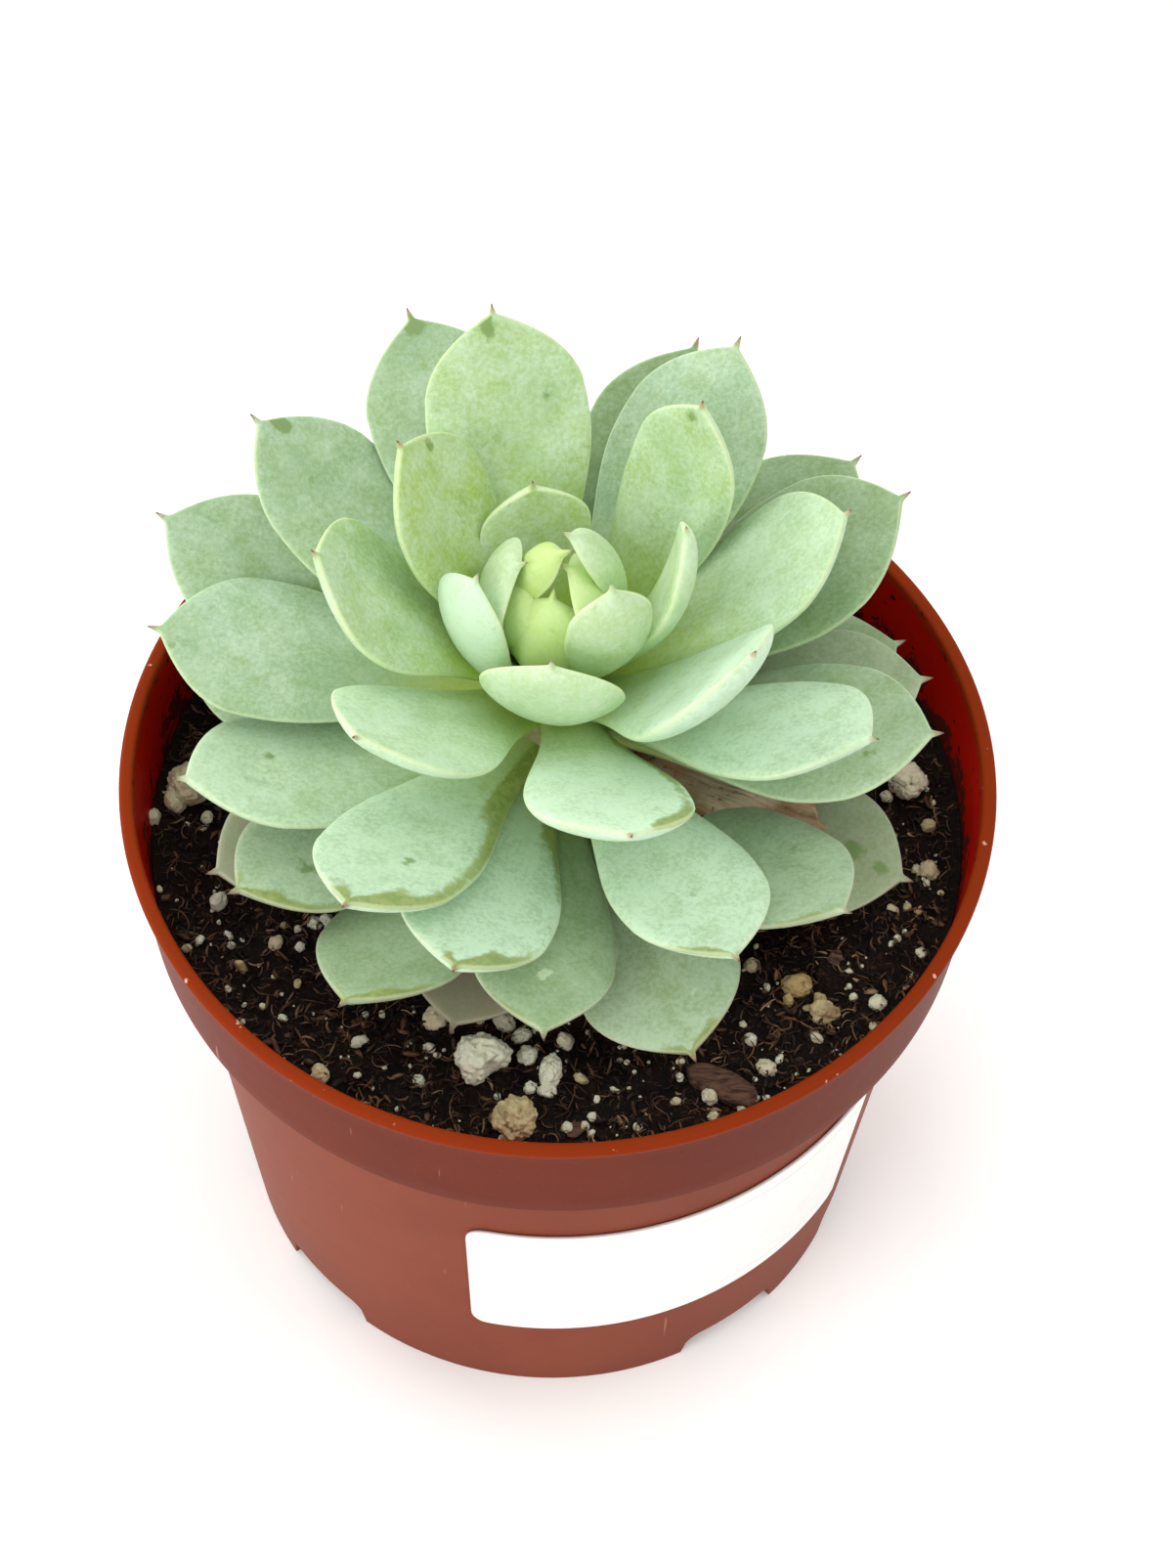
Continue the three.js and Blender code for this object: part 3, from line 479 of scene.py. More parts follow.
def leaf_material(whorl):
    f = LEAF_FINISH[whorl]
    t = Tree(f"{whorl}_leaf_skin")
    along = t.attribute("along")
    tip = t.attribute("tip")
    face = t.attribute("face")
    tone = t.attribute("tone")

    # Yellow-green neck that turns into the blue-green blade.
    reach = t.shake(along, t.noise(90.0, 2.0), 0.35)
    colour = t.blend(t.fade(reach, 0.12, f["reach"]), f["base"], f["blade"])
    warm = t.times(t.fade(t.noise(150.0, 3.0), 0.35, 0.7), 0.25)
    warm = t.plus(warm, t.times(t.attribute("warm"), 0.6))
    colour = t.paint(colour, warm, 1, *f["base"])

    # Faint threads running along the leaf.
    thread = t.grain((0.09, 1.3, 1.0), 4.0, 0.6, where=t.attribute("flow", "Vector"))
    dark = t.mix(1.0, colour, (0.74, 0.82, 0.66, 1.0), "MULTIPLY")
    colour = t.mix(t.times(t.fade(thread, 0.48, 0.72), 0.4), colour, dark)

    # Places where the powder is rubbed off.
    speckle = t.noise(900.0, 4.0, 0.62)
    rub = t.fade(t.shake(t.attribute("rub"), speckle, 1.1), 0.30, 0.72)
    edge = t.fade(t.shake(t.attribute("edge"), speckle, 0.9), 0.30, 0.72)
    pale = t.fade(t.shake(t.attribute("pale"), speckle, 1.0), 0.35, 0.7)
    scuffs = t.fade(t.noise(210.0, 5.0, 0.66, 0.6), 0.62, 0.70)

    # The bloom: soft clouds with fine grains in them.
    cloud = t.fade(t.noise(230.0, 5.0, 0.66), 0.32, 0.68)
    grain = t.fade(t.noise(1700.0, 3.0, 0.66), 0.34, 0.68)
    mottled = t.plus(t.times(cloud, 0.5), t.times(grain, 0.5))
    bare = t.math("MAXIMUM", t.math("MAXIMUM", rub, edge), t.times(scuffs, 0.4))
    powder = t.times(mottled, t.math("SUBTRACT", 1.0, bare, clamp=True))
    onward = t.fade(along, 0.1, 0.6, 0.2, 1.0)
    powder = t.math("MULTIPLY", t.times(powder, onward), f["powder"] * 1.6, clamp=True)
    colour = t.paint(colour, powder, 1, *f["bloom"])
    patchy = t.fade(t.noise(95.0, 4.0, 0.6), 0.42, 0.7)
    colour = t.mix(t.times(patchy, 0.36), colour, dark)

    # Each leaf is made paler or darker: partly its own depth of bloom, partly painted light and
    # shade.
    paler = t.times(t.fade(tone, 0.0, 1.0), t.fade(along, 0.05, 0.55, 0.2, 1.0))
    paler = t.times(paler, t.fade(mottled, 0.1, 0.7, 0.62, 1.0))
    colour = t.paint(colour, paler, 1, 207, 234, 206)
    colour = t.mix(t.fade(tone, 0.0, -1.0), colour, (0.60, 0.65, 0.5, 1.0), "MULTIPLY")
    blotch = t.fade(t.noise(170.0, 4.0, 0.62), 0.35, 0.65, 0.65, 1.0)
    colour = t.paint(colour, t.times(t.attribute("wither"), blotch), 1, 160, 152, 128)

    colour = t.paint(colour, rub, 0.75, *BARE_GREEN)
    colour = t.paint(colour, t.times(scuffs, onward), 0.25, *BARE_GREEN)
    olive = t.blend(t.fade(speckle, 0.4, 0.6), (120, 140, 62), (146, 158, 84))
    colour = t.mix(t.times(edge, 0.85), colour, olive)
    colour = t.paint(colour, pale, 0.7, 206, 226, 190)

    # Pale margin, thin and a little uneven.
    lining = t.fade(t.shake(t.attribute("rim"), t.noise(500.0, 2.0), 0.25), 0.34, 0.08)
    lining = t.times(lining, t.fade(along, 0.2, 0.5))
    lining = t.times(lining, t.fade(face, -0.5, -0.15))
    colour = t.paint(colour, lining, 0.5, *f["margin"])

    # Spiny point, darkest at its very end.
    stain = t.fade(t.shake(tip, t.noise(700.0, 3.0), 1.2), 1.5, 0.5)
    colour = t.paint(colour, stain, 0.7, *f["point"])
    colour = t.paint(colour, t.fade(tip, 0.55, 0.1), 1, *(v * 0.6 for v in f["point"]))

    # The underside is paler and plainer.
    colour = t.paint(colour, t.fade(face, 0.1, -0.5), 0.25, *f["bloom"])

    rough = t.plus(t.times(powder, 0.18), 0.46)
    rough = t.math("SUBTRACT", rough, t.times(bare, 0.10))
    return t.finish(colour, rough, (t.noise(420.0, 4.0, 0.6), 0.4, 0.0004),
                    (t.noise(2600.0, 3.0, 0.6), 0.4, 0.00007), (thread, 0.25, 0.00012),
                    Subsurface_Weight=0.15, Subsurface_Scale=0.0018,
                    Subsurface_Radius=(0.55, 1.0, 0.35), Specular_IOR_Level=0.35)


def dried_material():
    t = Tree("dried_leaf_skin")
    rib = t.grain((0.1, 1.1, 1.0), 5.0, 0.62, where=t.attribute("flow", "Vector"))
    patch = t.fade(t.noise(160.0, 4.0), 0.36, 0.66)
    colour = t.blend(patch, (196, 152, 120), (226, 204, 176))
    colour = t.paint(colour, t.fade(rib, 0.5, 0.68), 0.55, 128, 88, 62)
    colour = t.paint(colour, t.fade(t.noise(900.0, 3.0), 0.6, 0.7), 0.6, 60, 42, 30)
    return t.finish(colour, t.fade(patch, 0, 1, 0.62, 0.8), (rib, 0.9, 0.0009),
                    (t.noise(1400.0, 4.0), 0.5, 0.0002), Subsurface_Weight=0.1,
                    Subsurface_Scale=0.001, Specular_IOR_Level=0.3)


def stem_material():
    t = Tree("stem_skin")
    rings = t.grain((260.0, 260.0, 900.0), 4.0, 0.6)
    colour = t.blend(t.fade(rings, 0.35, 0.65), (126, 130, 78), (168, 160, 112))
    woody = t.fade(t.plus(t.height(), t.times(t.noise(300.0), 0.004)), 0.081, 0.075)
    colour = t.paint(colour, woody, 0.85, 104, 76, 52)
    return t.finish(colour, t.fade(rings, 0.2, 0.8, 0.6, 0.85), (rings, 0.8, 0.0006),
                    Specular_IOR_Level=0.3)


def pot_material():
    t = Tree("pot_plastic_skin")
    inside = t.attribute("inside")
    lip = t.attribute("lip")
    height = t.height()
    cloud = t.noise(42.0, 4.0, 0.6)
    mottle = t.fade(cloud, 0.3, 0.7)
    colour = t.mix(t.fade(height, 0.0652, 0.0648), t.blend(mottle, (99, 38, 22), (107, 43, 26)),
                   t.blend(mottle, (123, 60, 43), (131, 67, 49)))
    colour = t.paint(colour, t.fade(t.noise(1500.0, 2.0), 0.62, 0.72), 0.12, 150, 84, 62)
    # Long hairline scratches in a few directions.
    hair = 0.0
    for k, turn in enumerate([(0.3, 0.1, 0.5), (1.1, 0.7, 1.9), (0.2, 1.4, 2.6)]):
        line = t.grain((1100.0, 45.0, 45.0 + 9 * k), 2.0, 0.5, turn)
        line = t.times(t.fade(line, 0.735, 0.765), t.fade(t.noise(60.0 + 11 * k), 0.5, 0.6))
        hair = t.math("MAXIMUM", hair, line)
    haze = t.fade(t.noise(130.0, 5.0, 0.68, 0.8), 0.58, 0.78)
    colour = t.paint(colour, hair, 0.5, 190, 130, 108)
    colour = t.paint(colour, haze, 0.12, 180, 116, 96)
    colour = t.paint(colour, inside, 1, 184, 20, 6)
    # The lip: brighter, with small pale nicks.
    colour = t.paint(colour, lip, 0.9, 134, 46, 12)
    nick = t.times(t.fade(t.noise(520.0, 3.0), 0.68, 0.73), lip)
    colour = t.paint(colour, nick, 0.75, 230, 190, 170)
    # Soil dust and splashes on the inner wall, thickest at the soil.
    near = t.times(t.fade(height, 0.0795, 0.0715), 0.26)
    smear = t.fade(t.plus(t.noise(230.0, 5.0, 0.66, 0.4), near), 0.68, 0.76)
    smear = t.times(smear, inside)
    colour = t.paint(colour, smear, 0.85, 52, 34, 26)
    specks = t.times(t.fade(t.noise(760.0, 2.0), 0.67, 0.7), inside)
    colour = t.paint(colour, specks, 1, 40, 26, 20)
    rough = t.plus(t.times(haze, 0.14), t.fade(cloud, 0.2, 0.8, 0.40, 0.47))
    rough = t.math("ADD", rough, t.times(smear, 0.35), clamp=True)
    return t.finish(colour, rough, (t.noise(1800.0, 3.0), 0.2, 0.00006),
                    (t.noise(150.0, 3.0), 0.12, 0.0005), (hair, 0.4, -0.00008),
                    (smear, 0.6, 0.0003), Specular_IOR_Level=0.03)


def label_material():
    t = Tree("label_paper_skin")
    fibre = t.grain((900.0, 900.0, 2600.0), 5.0, 0.65)
    colour = t.blend(t.fade(fibre, 0.3, 0.7), (243, 242, 239), (250, 249, 247))
    smudge = t.fade(t.noise(120.0, 4.0, 0.6), 0.55, 0.75)
    colour = t.paint(colour, smudge, 0.25, 228, 226, 222)
    colour = t.paint(colour, t.fade(t.attribute("edge"), 0.45, 0.0), 0.5, 206, 196, 190)
    return t.finish(colour, t.fade(smudge, 0, 1, 0.5, 0.62), (fibre, 0.25, 0.00008),
                    (t.noise(160.0, 2.0), 0.25, 0.0004), Specular_IOR_Level=0.4)


def soil_material(name="soil_skin", light=0.0):
    t = Tree(name)
    coarse = t.noise(330.0, 6.0, 0.68)
    fine = t.noise(1600.0, 5.0, 0.7)
    colour = t.blend(t.fade(coarse, 0.34, 0.66), (9, 6, 4), (31, 19, 12))
    straw = t.grain((420.0, 2400.0, 2400.0), 3.0, 0.6, (0.2, 0.3, 0.9))
    colour = t.paint(colour, t.fade(straw, 0.6, 0.7), 0.7, 84, 60, 41)
    other = t.grain((2300.0, 380.0, 2300.0), 3.0, 0.6, (0.1, 0.2, 0.5))
    colour = t.paint(colour, t.fade(other, 0.62, 0.72), 0.55, 72, 50, 34)
    colour = t.paint(colour, t.fade(fine, 0.68, 0.76), 0.8, 118, 98, 72)
    colour = t.paint(colour, light, 1, 92, 68, 48)
    return t.finish(colour, t.fade(coarse, 0.3, 0.7, 0.62, 0.92), (coarse, 0.9, 0.0012),
                    (fine, 0.8, 0.0004), Specular_IOR_Level=0.2)


def fibre_material():
    t = Tree("soil_fibre_skin")
    streak = t.noise(700.0, 3.0, 0.6)
    mixed = t.shake(t.attribute("shade"), streak, 0.5)
    colour = t.blend(t.fade(mixed, 0.12, 0.55), (18, 12, 8), (108, 78, 54))
    colour = t.paint(colour, t.fade(mixed, 0.6, 0.95), 1, 176, 146, 110)
    return t.finish(colour, t.fade(streak, 0.2, 0.8, 0.55, 0.8),
                    (t.noise(2600.0, 3.0), 0.6, 0.0002), Specular_IOR_Level=0.35)


def perlite_material():
    t = Tree("perlite_skin")
    tint = t.attribute("tint")
    stain = t.fade(t.noise(330.0, 5.0, 0.66), 0.46, 0.68)
    stain = t.times(stain, t.fade(tint, 0.0, 1.0, 0.3, 1.0))
    colour = t.mix(stain, t.blend(tint, (250, 255, 228), (206, 178, 112)),
                   t.blend(tint, (228, 218, 170), (122, 98, 56)))
    # Painted shade: the hollows between the swellings are darkened to tan.
    colour = t.paint(colour, t.fade(t.attribute("hollow_shade"), 0.4, 0.9), 0.7, 160, 136, 88)
    colour = t.paint(colour, t.fade(t.noise(1100.0, 4.0, 0.65), 0.65, 0.72), 0.75, 82, 62, 42)
    pit = t.node("TexVoronoi", {"Vector": t.where, "Scale": 900.0}).outputs["Distance"]
    return t.finish(colour, t.fade(stain, 0, 1, 0.82, 0.94), (pit, 0.8, 0.0005),
                    (t.noise(1500.0, 5.0, 0.72), 0.8, 0.0005), Subsurface_Weight=0.12,
                    Subsurface_Scale=0.0008, Specular_IOR_Level=0.25)


def bark_material():
    t = Tree("bark_skin")
    grain = t.grain((160.0, 1500.0, 1500.0), 5.0, 0.65, (0, 0, 0.49))
    colour = t.blend(t.fade(grain, 0.34, 0.66), (58, 40, 32), (122, 92, 74))
    colour = t.paint(colour, t.fade(t.noise(260.0, 4.0), 0.6, 0.75), 1, 150, 122, 100)
    return t.finish(colour, t.fade(grain, 0.2, 0.8, 0.7, 0.92), (grain, 1.0, 0.0007),
                    (t.noise(2000.0, 4.0), 0.5, 0.0002), Specular_IOR_Level=0.3)


def floor_material():
    t = Tree("floor_white")
    colour = t.blend(t.fade(t.noise(18.0, 3.0), 0.2, 0.8), (250, 249, 248), (252, 251, 250))
    return t.finish(colour, 0.8, Specular_IOR_Level=0.15, Emission_Color=(1, 0.985, 0.97, 1),
                    Emission_Strength=0.1)


# ---------------------------------------------------------------- leaves
RING_POINTS = 40
SHOULDER = 0.64


def leaf_stations(start):
    low = np.linspace(0, 0.6, 15)[:-1]
    high = 0.6 + (start - 0.6) * np.sin(np.linspace(0, 1, 26) * math.pi / 2)
    return np.concatenate([low, high, np.linspace(start, 1, 8)[1:]])


def leaf_half_width(s, length, width, start):
    """Spoon-shaped outline: a narrow neck, full shoulders and a short point."""
    low = np.clip(s / SHOULDER, 0, 1)
    ease = (low * low * (3 - 2 * low)) ** 1.35
    u = np.clip((s - SHOULDER) / (start - SHOULDER), 0, 1)
    blade = width / 2 * np.where(s < SHOULDER, 0.38 + 0.62 * ease, (1 - u ** 3) ** 0.95)
    cusp = np.minimum(np.where(s > 0.75, 0.05 + 0.30 * (1 - s) * length, 0), width * 0.15)
    return (blade ** 3 + cusp ** 3) ** (1 / 3)


def leaf_thickness(s, length, thickness, start):
    u = np.clip((s - 0.45) / (start - 0.45), 0, 1)
    swell = 0.8 + 0.2 * np.sin(np.clip(s / 0.45, 0, 1) * math.pi / 2)
    body = thickness * swell * (1 - 0.62 * u ** 2.4)
    cap = 0.14 + 0.62 * (1 - s) * length
    return (body ** -4.0 + cap ** -4.0) ** -0.25


def leaf_arrays(whorl, number, row):
    """Points, faces and attributes of one leaf."""
    at, slope, length, width, bend, twist, swing, base = row
    start_radius, thickness, cup, point_length = WHORLS[whorl]
    seed = sum(ord(c) * (k + 1) for k, c in enumerate(f"{whorl}_leaf_{number}"))
    rng = np.random.default_rng(seed)
    fine = np.linspace(0, 1, 201)
    rise = np.radians(slope + bend * (0.5 - fine))
    turn = np.radians(at + swing * (fine - 0.5))
    way = direction(rise, turn)
    origin = np.array([STEM_X, STEM_Y, base]) + start_radius * direction(0, math.radians(at))
    steps = np.vstack([[0, 0, 0], np.cumsum((way[1:] + way[:-1]) / 2, axis=0)])
    path = origin + steps * length / 200

    start = 1 - 0.9 * point_length / length
    s = leaf_stations(start)
    centre = np.stack([np.interp(s, fine, axis) for axis in path.T], -1)
    rise, turn = np.interp(s, fine, rise), np.interp(s, fine, turn)
    across, up = direction(0, turn + math.pi / 2), direction(rise + math.pi / 2, turn)
    roll = math.radians(twist)
    wide = across * math.cos(roll) + up * math.sin(roll)
    tall = up * math.cos(roll) - across * math.sin(roll)

    half = leaf_half_width(s, length, width, start)
    thick = np.minimum(leaf_thickness(s, length, thickness, start), half * 1.5 + 0.1)
    half, thick = half[:, None], thick[:, None]
    angle = 2 * np.pi * np.arange(RING_POINTS) / RING_POINTS
    x = (np.sign(np.cos(angle)) * np.abs(np.cos(angle)) ** 0.86)[None]
    y = np.sin(angle)[None]
    # Small unevenness: the two margins differ, and the blade waves a little.
    phase = rng.uniform(0, 2 * np.pi, 6)
    body = np.sin(s * np.pi)[:, None]

    def wave(size, pace, k):
        return size * np.sin(pace * s + phase[k])[:, None]

    spread = 1 + (wave(0.014, 5.5, 0) + wave(0.009, 13, 1)) * body
    spread = spread + (wave(0.012, 4.5, 2) + wave(0.008, 11, 3)) * x * body
    flutter = (wave(0.22, 7, 4) * x * np.abs(x) + wave(0.15, 9, 5) * x * x) * body
    aside = half * x
    lift = thick * np.where(y < 0, -0.6 * np.abs(y) ** 1.12, 0.4 * np.abs(y) ** 1.2)
    lift = lift + cup * half * (x * x - 0.35) + flutter
    if whorl == "dried":
        flat_s, flat_x = np.repeat(s * length, RING_POINTS), aside.reshape(-1)
        ridge = noise3(np.stack([flat_s * 0.12, flat_x * 0.9, flat_x * 0], -1), seed)
        fold = noise3(np.stack([flat_s * 0.25, flat_x * 0.25, flat_x * 0 + 5], -1), seed)
        dents = (0.9 * (0.9 * ridge + 1.6 * fold)).reshape(lift.shape)
        lift = lift + dents * np.minimum(1, body * 3)
    points = centre[:, None] + wide[:, None] * (aside * spread)[..., None]
    points = points + tall[:, None] * lift[..., None]
    rings = len(s)
    verts = np.vstack([points.reshape(-1, 3), centre[:1], path[-1:]])
    faces = grid_faces(rings, RING_POINTS).tolist()
    count = rings * RING_POINTS
    faces += fan(list(range(RING_POINTS))[::-1], count)
    faces += fan(list(range(count - RING_POINTS, count)), count + 1)

    # How far a point is from the blade's outline, seen from above.
    outer = s >= SHOULDER
    order = np.argsort(half[outer, 0])
    reach = np.interp(np.abs(aside), half[outer, 0][order], s[outer][order])
    ahead = np.maximum(0.001, (reach - s[:, None]) * length)
    beside = np.maximum(0.001, half * (1 - np.abs(x)))
    rim = 1 / np.sqrt(1 / ahead ** 2 + 1 / beside ** 2)

    tone = (round(rng.uniform(-0.3, 0.3), 2), 0.1, 0.0)
    tone, yellow, wither = LEAF_TONES.get(whorl, {}).get(number, tone)
    worn = {"rub": 0.0, "edge": 0.0, "pale": 0.0, "warm": yellow}
    for kind, ms, mx, size_s, size_x, strength in MARKS.get(whorl, {}).get(number, []):
        ds = (s[:, None] - ms) * length / size_s
        dx = (aside - mx * width / 2) / size_x
        if kind == "edge":
            ds = rim / size_s * (1 + 0.3 * np.sin(aside * 1.1 + ms))
        worn[kind] = worn[kind] + strength * np.exp(-(ds * ds + dx * dx)) * (y > -0.3)

    def flat(values, at_base=0, at_tip=0):
        grid = np.broadcast_to(values, (rings, RING_POINTS)).reshape(-1)
        return np.concatenate([grid, [at_base, at_tip]])

    attributes = {key: flat(values) for key, values in worn.items()}
    attributes.update(
        warm=flat(worn["warm"], yellow, yellow), tone=flat(tone, tone, tone),
        wither=flat(wither, wither, wither), face=flat(y), rim=flat(rim, 1, 0),
        along=flat(s[:, None], 0, 1), tip=flat((1 - s[:, None]) * length, length, 0),
        flow=np.stack([flat(s[:, None] * length, 0, length), flat(aside),
                       np.full(len(verts), seed % 97 * 3.7)], -1))
    return verts, faces, attributes


def make_leaves():
    dried = dried_material()
    for whorl, rows in LEAVES.items():
        skin = dried if whorl == "dried" else leaf_material(whorl)
        for k, row in enumerate(rows):
            node = f"{whorl}_leaf_{k + 1}"
            obj = make_mesh(f"{node}_blade", *leaf_arrays(whorl, k + 1, row))
            piece(obj, skin, f"{whorl}_leaf", node)


# ---------------------------------------------------------------- pot
def wall_radius(z):
    return FOOT_RADIUS + (WALL_TOP_RADIUS - FOOT_RADIUS) * z / (POT_HEIGHT - BAND_HEIGHT)


def foot_edge(theta):
    """Height of the pot's lower edge at a compass angle in degrees."""
    half = FOOT_RADIUS * math.sin(math.radians(ARCH_WIDTH / 2))
    edge = np.zeros_like(theta)
    for centre in ARCH_ANGLES:
        x = np.radians(np.abs((theta - centre + 180) % 360 - 180)) * FOOT_RADIUS
        corner = np.clip((x - (half - ARCH_CORNER)) / ARCH_CORNER, 0, 1)
        arch = ARCH_HEIGHT - ARCH_CORNER + ARCH_CORNER * np.sqrt(1 - corner ** 2)
        edge = np.maximum(edge, np.where(x < half, arch, 0))
    return edge


def floor_plate(radius):
    """Points and faces of the pot's floor with its drain holes."""
    curve = bpy.data.curves.new("floor_outline", "CURVE")
    curve.dimensions = "2D"
    curve.fill_mode = "BOTH"
    curve.extrude = FLOOR_THICKNESS / 2
    outlines = [(0, 0, radius, 160), (0, 0, DRAIN_RADIUS, 40)]
    for a in np.radians(range(0, 360, 60)):
        centre = DRAIN_RING_RADIUS * math.cos(a), DRAIN_RING_RADIUS * math.sin(a)
        outlines.append((*centre, DRAIN_RADIUS, 40))
    for cx, cy, radius, count in outlines:
        spline = curve.splines.new("POLY")
        spline.points.add(count - 1)
        spline.use_cyclic_u = True
        for i in range(count):
            a = 2 * math.pi * i / count
            spline.points[i].co = (cx + radius * math.cos(a), cy + radius * math.sin(a), 0, 1)
    holder = bpy.data.objects.new("floor_outline", curve)
    bpy.context.scene.collection.objects.link(holder)
    plate = bpy.data.meshes.new_from_object(holder)
    points = np.array([v.co[:] for v in plate.vertices])
    points[:, 2] += FLOOR_HEIGHT + FLOOR_THICKNESS / 2
    faces = [list(p.vertices) for p in plate.polygons]
    bpy.data.objects.remove(holder)
    bpy.data.curves.remove(curve)
    bpy.data.meshes.remove(plate)
    return points, faces


def make_pot():
    sides = 480
    theta = np.arange(sides) * 360.0 / sides
    foot = foot_edge(theta)
    t = WALL_THICKNESS
    band_bottom = POT_HEIGHT - BAND_HEIGHT
    lip_bottom = POT_HEIGHT - LIP_DEPTH
    lip_inside = RIM_RADIUS - LIP_THICKNESS
    floor_top = FLOOR_HEIGHT + FLOOR_THICKNESS
    join = 8.0
    bevel = 0.25
    # Skirt: up the inside from the floor's underside, round the edge, up the outside.
    rows = []
    for k in (1.0, 0.75, 0.5, 0.25, 0.08, 0.02):
        z = foot + (FLOOR_HEIGHT - foot) * k
        rows.append((wall_radius(z) - t + bevel * (k < 0.05), z))
    for k in (0.0, 0.015, 0.06, 0.2, 0.4, 0.6, 0.8):
        z = foot + (join - foot) * k
        rows.append((wall_radius(z) - bevel * (k < 0.01), z))
    # From the join on the outside over the lip to the inside floor.
    upper = rounded([
        (wall_radius(join), join, 0),
        (WALL_TOP_RADIUS, band_bottom, 0.5),
        (BAND_BOTTOM_RADIUS, band_bottom, 0.7),
        (BAND_TOP_RADIUS, lip_bottom, 0.35),
        (RIM_RADIUS, lip_bottom + 0.25, 0.45),
        (RIM_RADIUS, POT_HEIGHT, 0.6),
        (lip_inside, POT_HEIGHT, 0.6),
        (lip_inside - 0.15, POT_HEIGHT - 3.2, 0.8),
        (BAND_BOTTOM_RADIUS - t, band_bottom + t, 0.6),
        (WALL_TOP_RADIUS - t, band_bottom + t, 0.6),
        (wall_radius(floor_top) - t, floor_top, 0),
    ])
    rows += [(np.full(sides, r), np.full(sides, z)) for r, z in refine(upper, 3.0)]
    r, z = np.array(rows).transpose(1, 0, 2)
    # The inside begins after the lip; the outer band is never inside.
    number = np.arange(len(rows))
    top = np.argmax(z.mean(1) + 1e-4 * number)
    inside = (number[:, None] >= top) & (z > 60) & (r < lip_inside + 0.1)
    lip = (z > lip_bottom - 0.1) & (r > lip_inside - 0.1)
    verts = np.stack([r * np.cos(np.radians(theta)), r * np.sin(np.radians(theta)), z], -1)
    verts = verts.reshape(-1, 3)
    faces = grid_faces(len(rows), sides).tolist()
    plate, plate_faces = floor_plate(wall_radius(FLOOR_HEIGHT) - t + 0.5)
    rest = np.zeros(len(plate))
    obj = make_mesh(
        "nursery_pot_shell", np.vstack([verts, plate]),
        faces + [[i + len(verts) for i in face] for face in plate_faces],
        {"inside": np.append(inside, rest), "lip": np.append(lip, rest)})
    for polygon in list(obj.data.polygons)[len(obj.data.polygons) - len(plate_faces):]:
        polygon.use_smooth = False
    piece(obj, pot_material(), "pot_plastic", "nursery_pot")


def make_label():
    mean = wall_radius((LABEL_BOTTOM + LABEL_TOP) / 2)
    width = math.radians(LABEL_END - LABEL_START) * mean
    height = LABEL_TOP - LABEL_BOTTOM
    columns = 110
    bend = LABEL_CORNER * (1 - np.cos(np.linspace(0, np.pi / 2, 10)))
    straight = np.linspace(LABEL_CORNER, height - LABEL_CORNER, 36)
    up = np.concatenate([bend, straight, height - bend[::-1]])[:, None]
    drop = LABEL_CORNER - np.minimum(np.minimum(up, height - up), LABEL_CORNER)
    inset = LABEL_CORNER - np.sqrt(np.maximum(0, LABEL_CORNER ** 2 - drop ** 2))
    along = inset + (width - 2 * inset) * np.linspace(0, 1, columns)
    near = np.minimum(np.minimum(along, width - along), np.minimum(up, height - up))
    puff = 0.06 * np.sin(along * 0.33 + 0.8) * np.sin(up * 0.27 + 0.4) * np.minimum(1, near / 4)
    soft = 0.10 * np.maximum(0, 1 - near / 0.35)
    z = LABEL_BOTTOM + up + 0 * along
    angle = math.radians(LABEL_START) + along / mean
    sheets = [np.stack([r * np.cos(angle), r * np.sin(angle), z], -1).reshape(-1, 3)
              for r in (wall_radius(z) + 0.58 + puff - soft, wall_radius(z) + 0.12)]
    faces = grid_faces(len(up), columns, False)
    rim = border(len(up), columns)[::-1]
    sides = band(rim, [i + near.size for i in rim])
    obj = make_mesh("label_sticker", np.vstack(sheets),
                    faces.tolist() + (faces[:, ::-1] + near.size).tolist() + sides,
                    {"edge": np.tile(near.reshape(-1), 2)})
    piece(obj, label_material(), "label_paper", "label")


# ---------------------------------------------------------------- soil
def soil_swell(x, y):
    broad = np.sin(x * 0.11 + 1.3) * np.cos(y * 0.13 - 0.4)
    fine = np.sin(x * 0.37 - y * 0.21) * np.cos(y * 0.33 + 2.1)
    return 0.7 * (broad + 0.6 * fine)


def soil_edge():
    shelf = POT_HEIGHT - BAND_HEIGHT + WALL_THICKNESS
    rise = RIM_RADIUS - LIP_THICKNESS - BAND_BOTTOM_RADIUS + WALL_THICKNESS
    rise /= POT_HEIGHT - shelf
    return BAND_BOTTOM_RADIUS - WALL_THICKNESS - 0.1 + rise * (SOIL_LEVEL - shelf)


def soil_height(x, y):
    """Height of the soil's crumbly top."""
    flat = np.stack([x, y, 0 * x], -1)
    z = 0.95 * (0.45 - cells3(flat / 3.4, 11)) + 0.42 * (0.45 - cells3(flat / 1.5, 12))
    for seed, (size, height) in enumerate([(7.0, 0.55), (2.6, 0.38), (1.1, 0.22), (0.55, 0.14)], 1):
        z = z + height * noise3(flat / size, seed)
    settle = np.clip((soil_edge() - np.hypot(x, y)) / 3.0, 0.25, 1)
    return SOIL_LEVEL + (soil_swell(x, y) + z) * settle


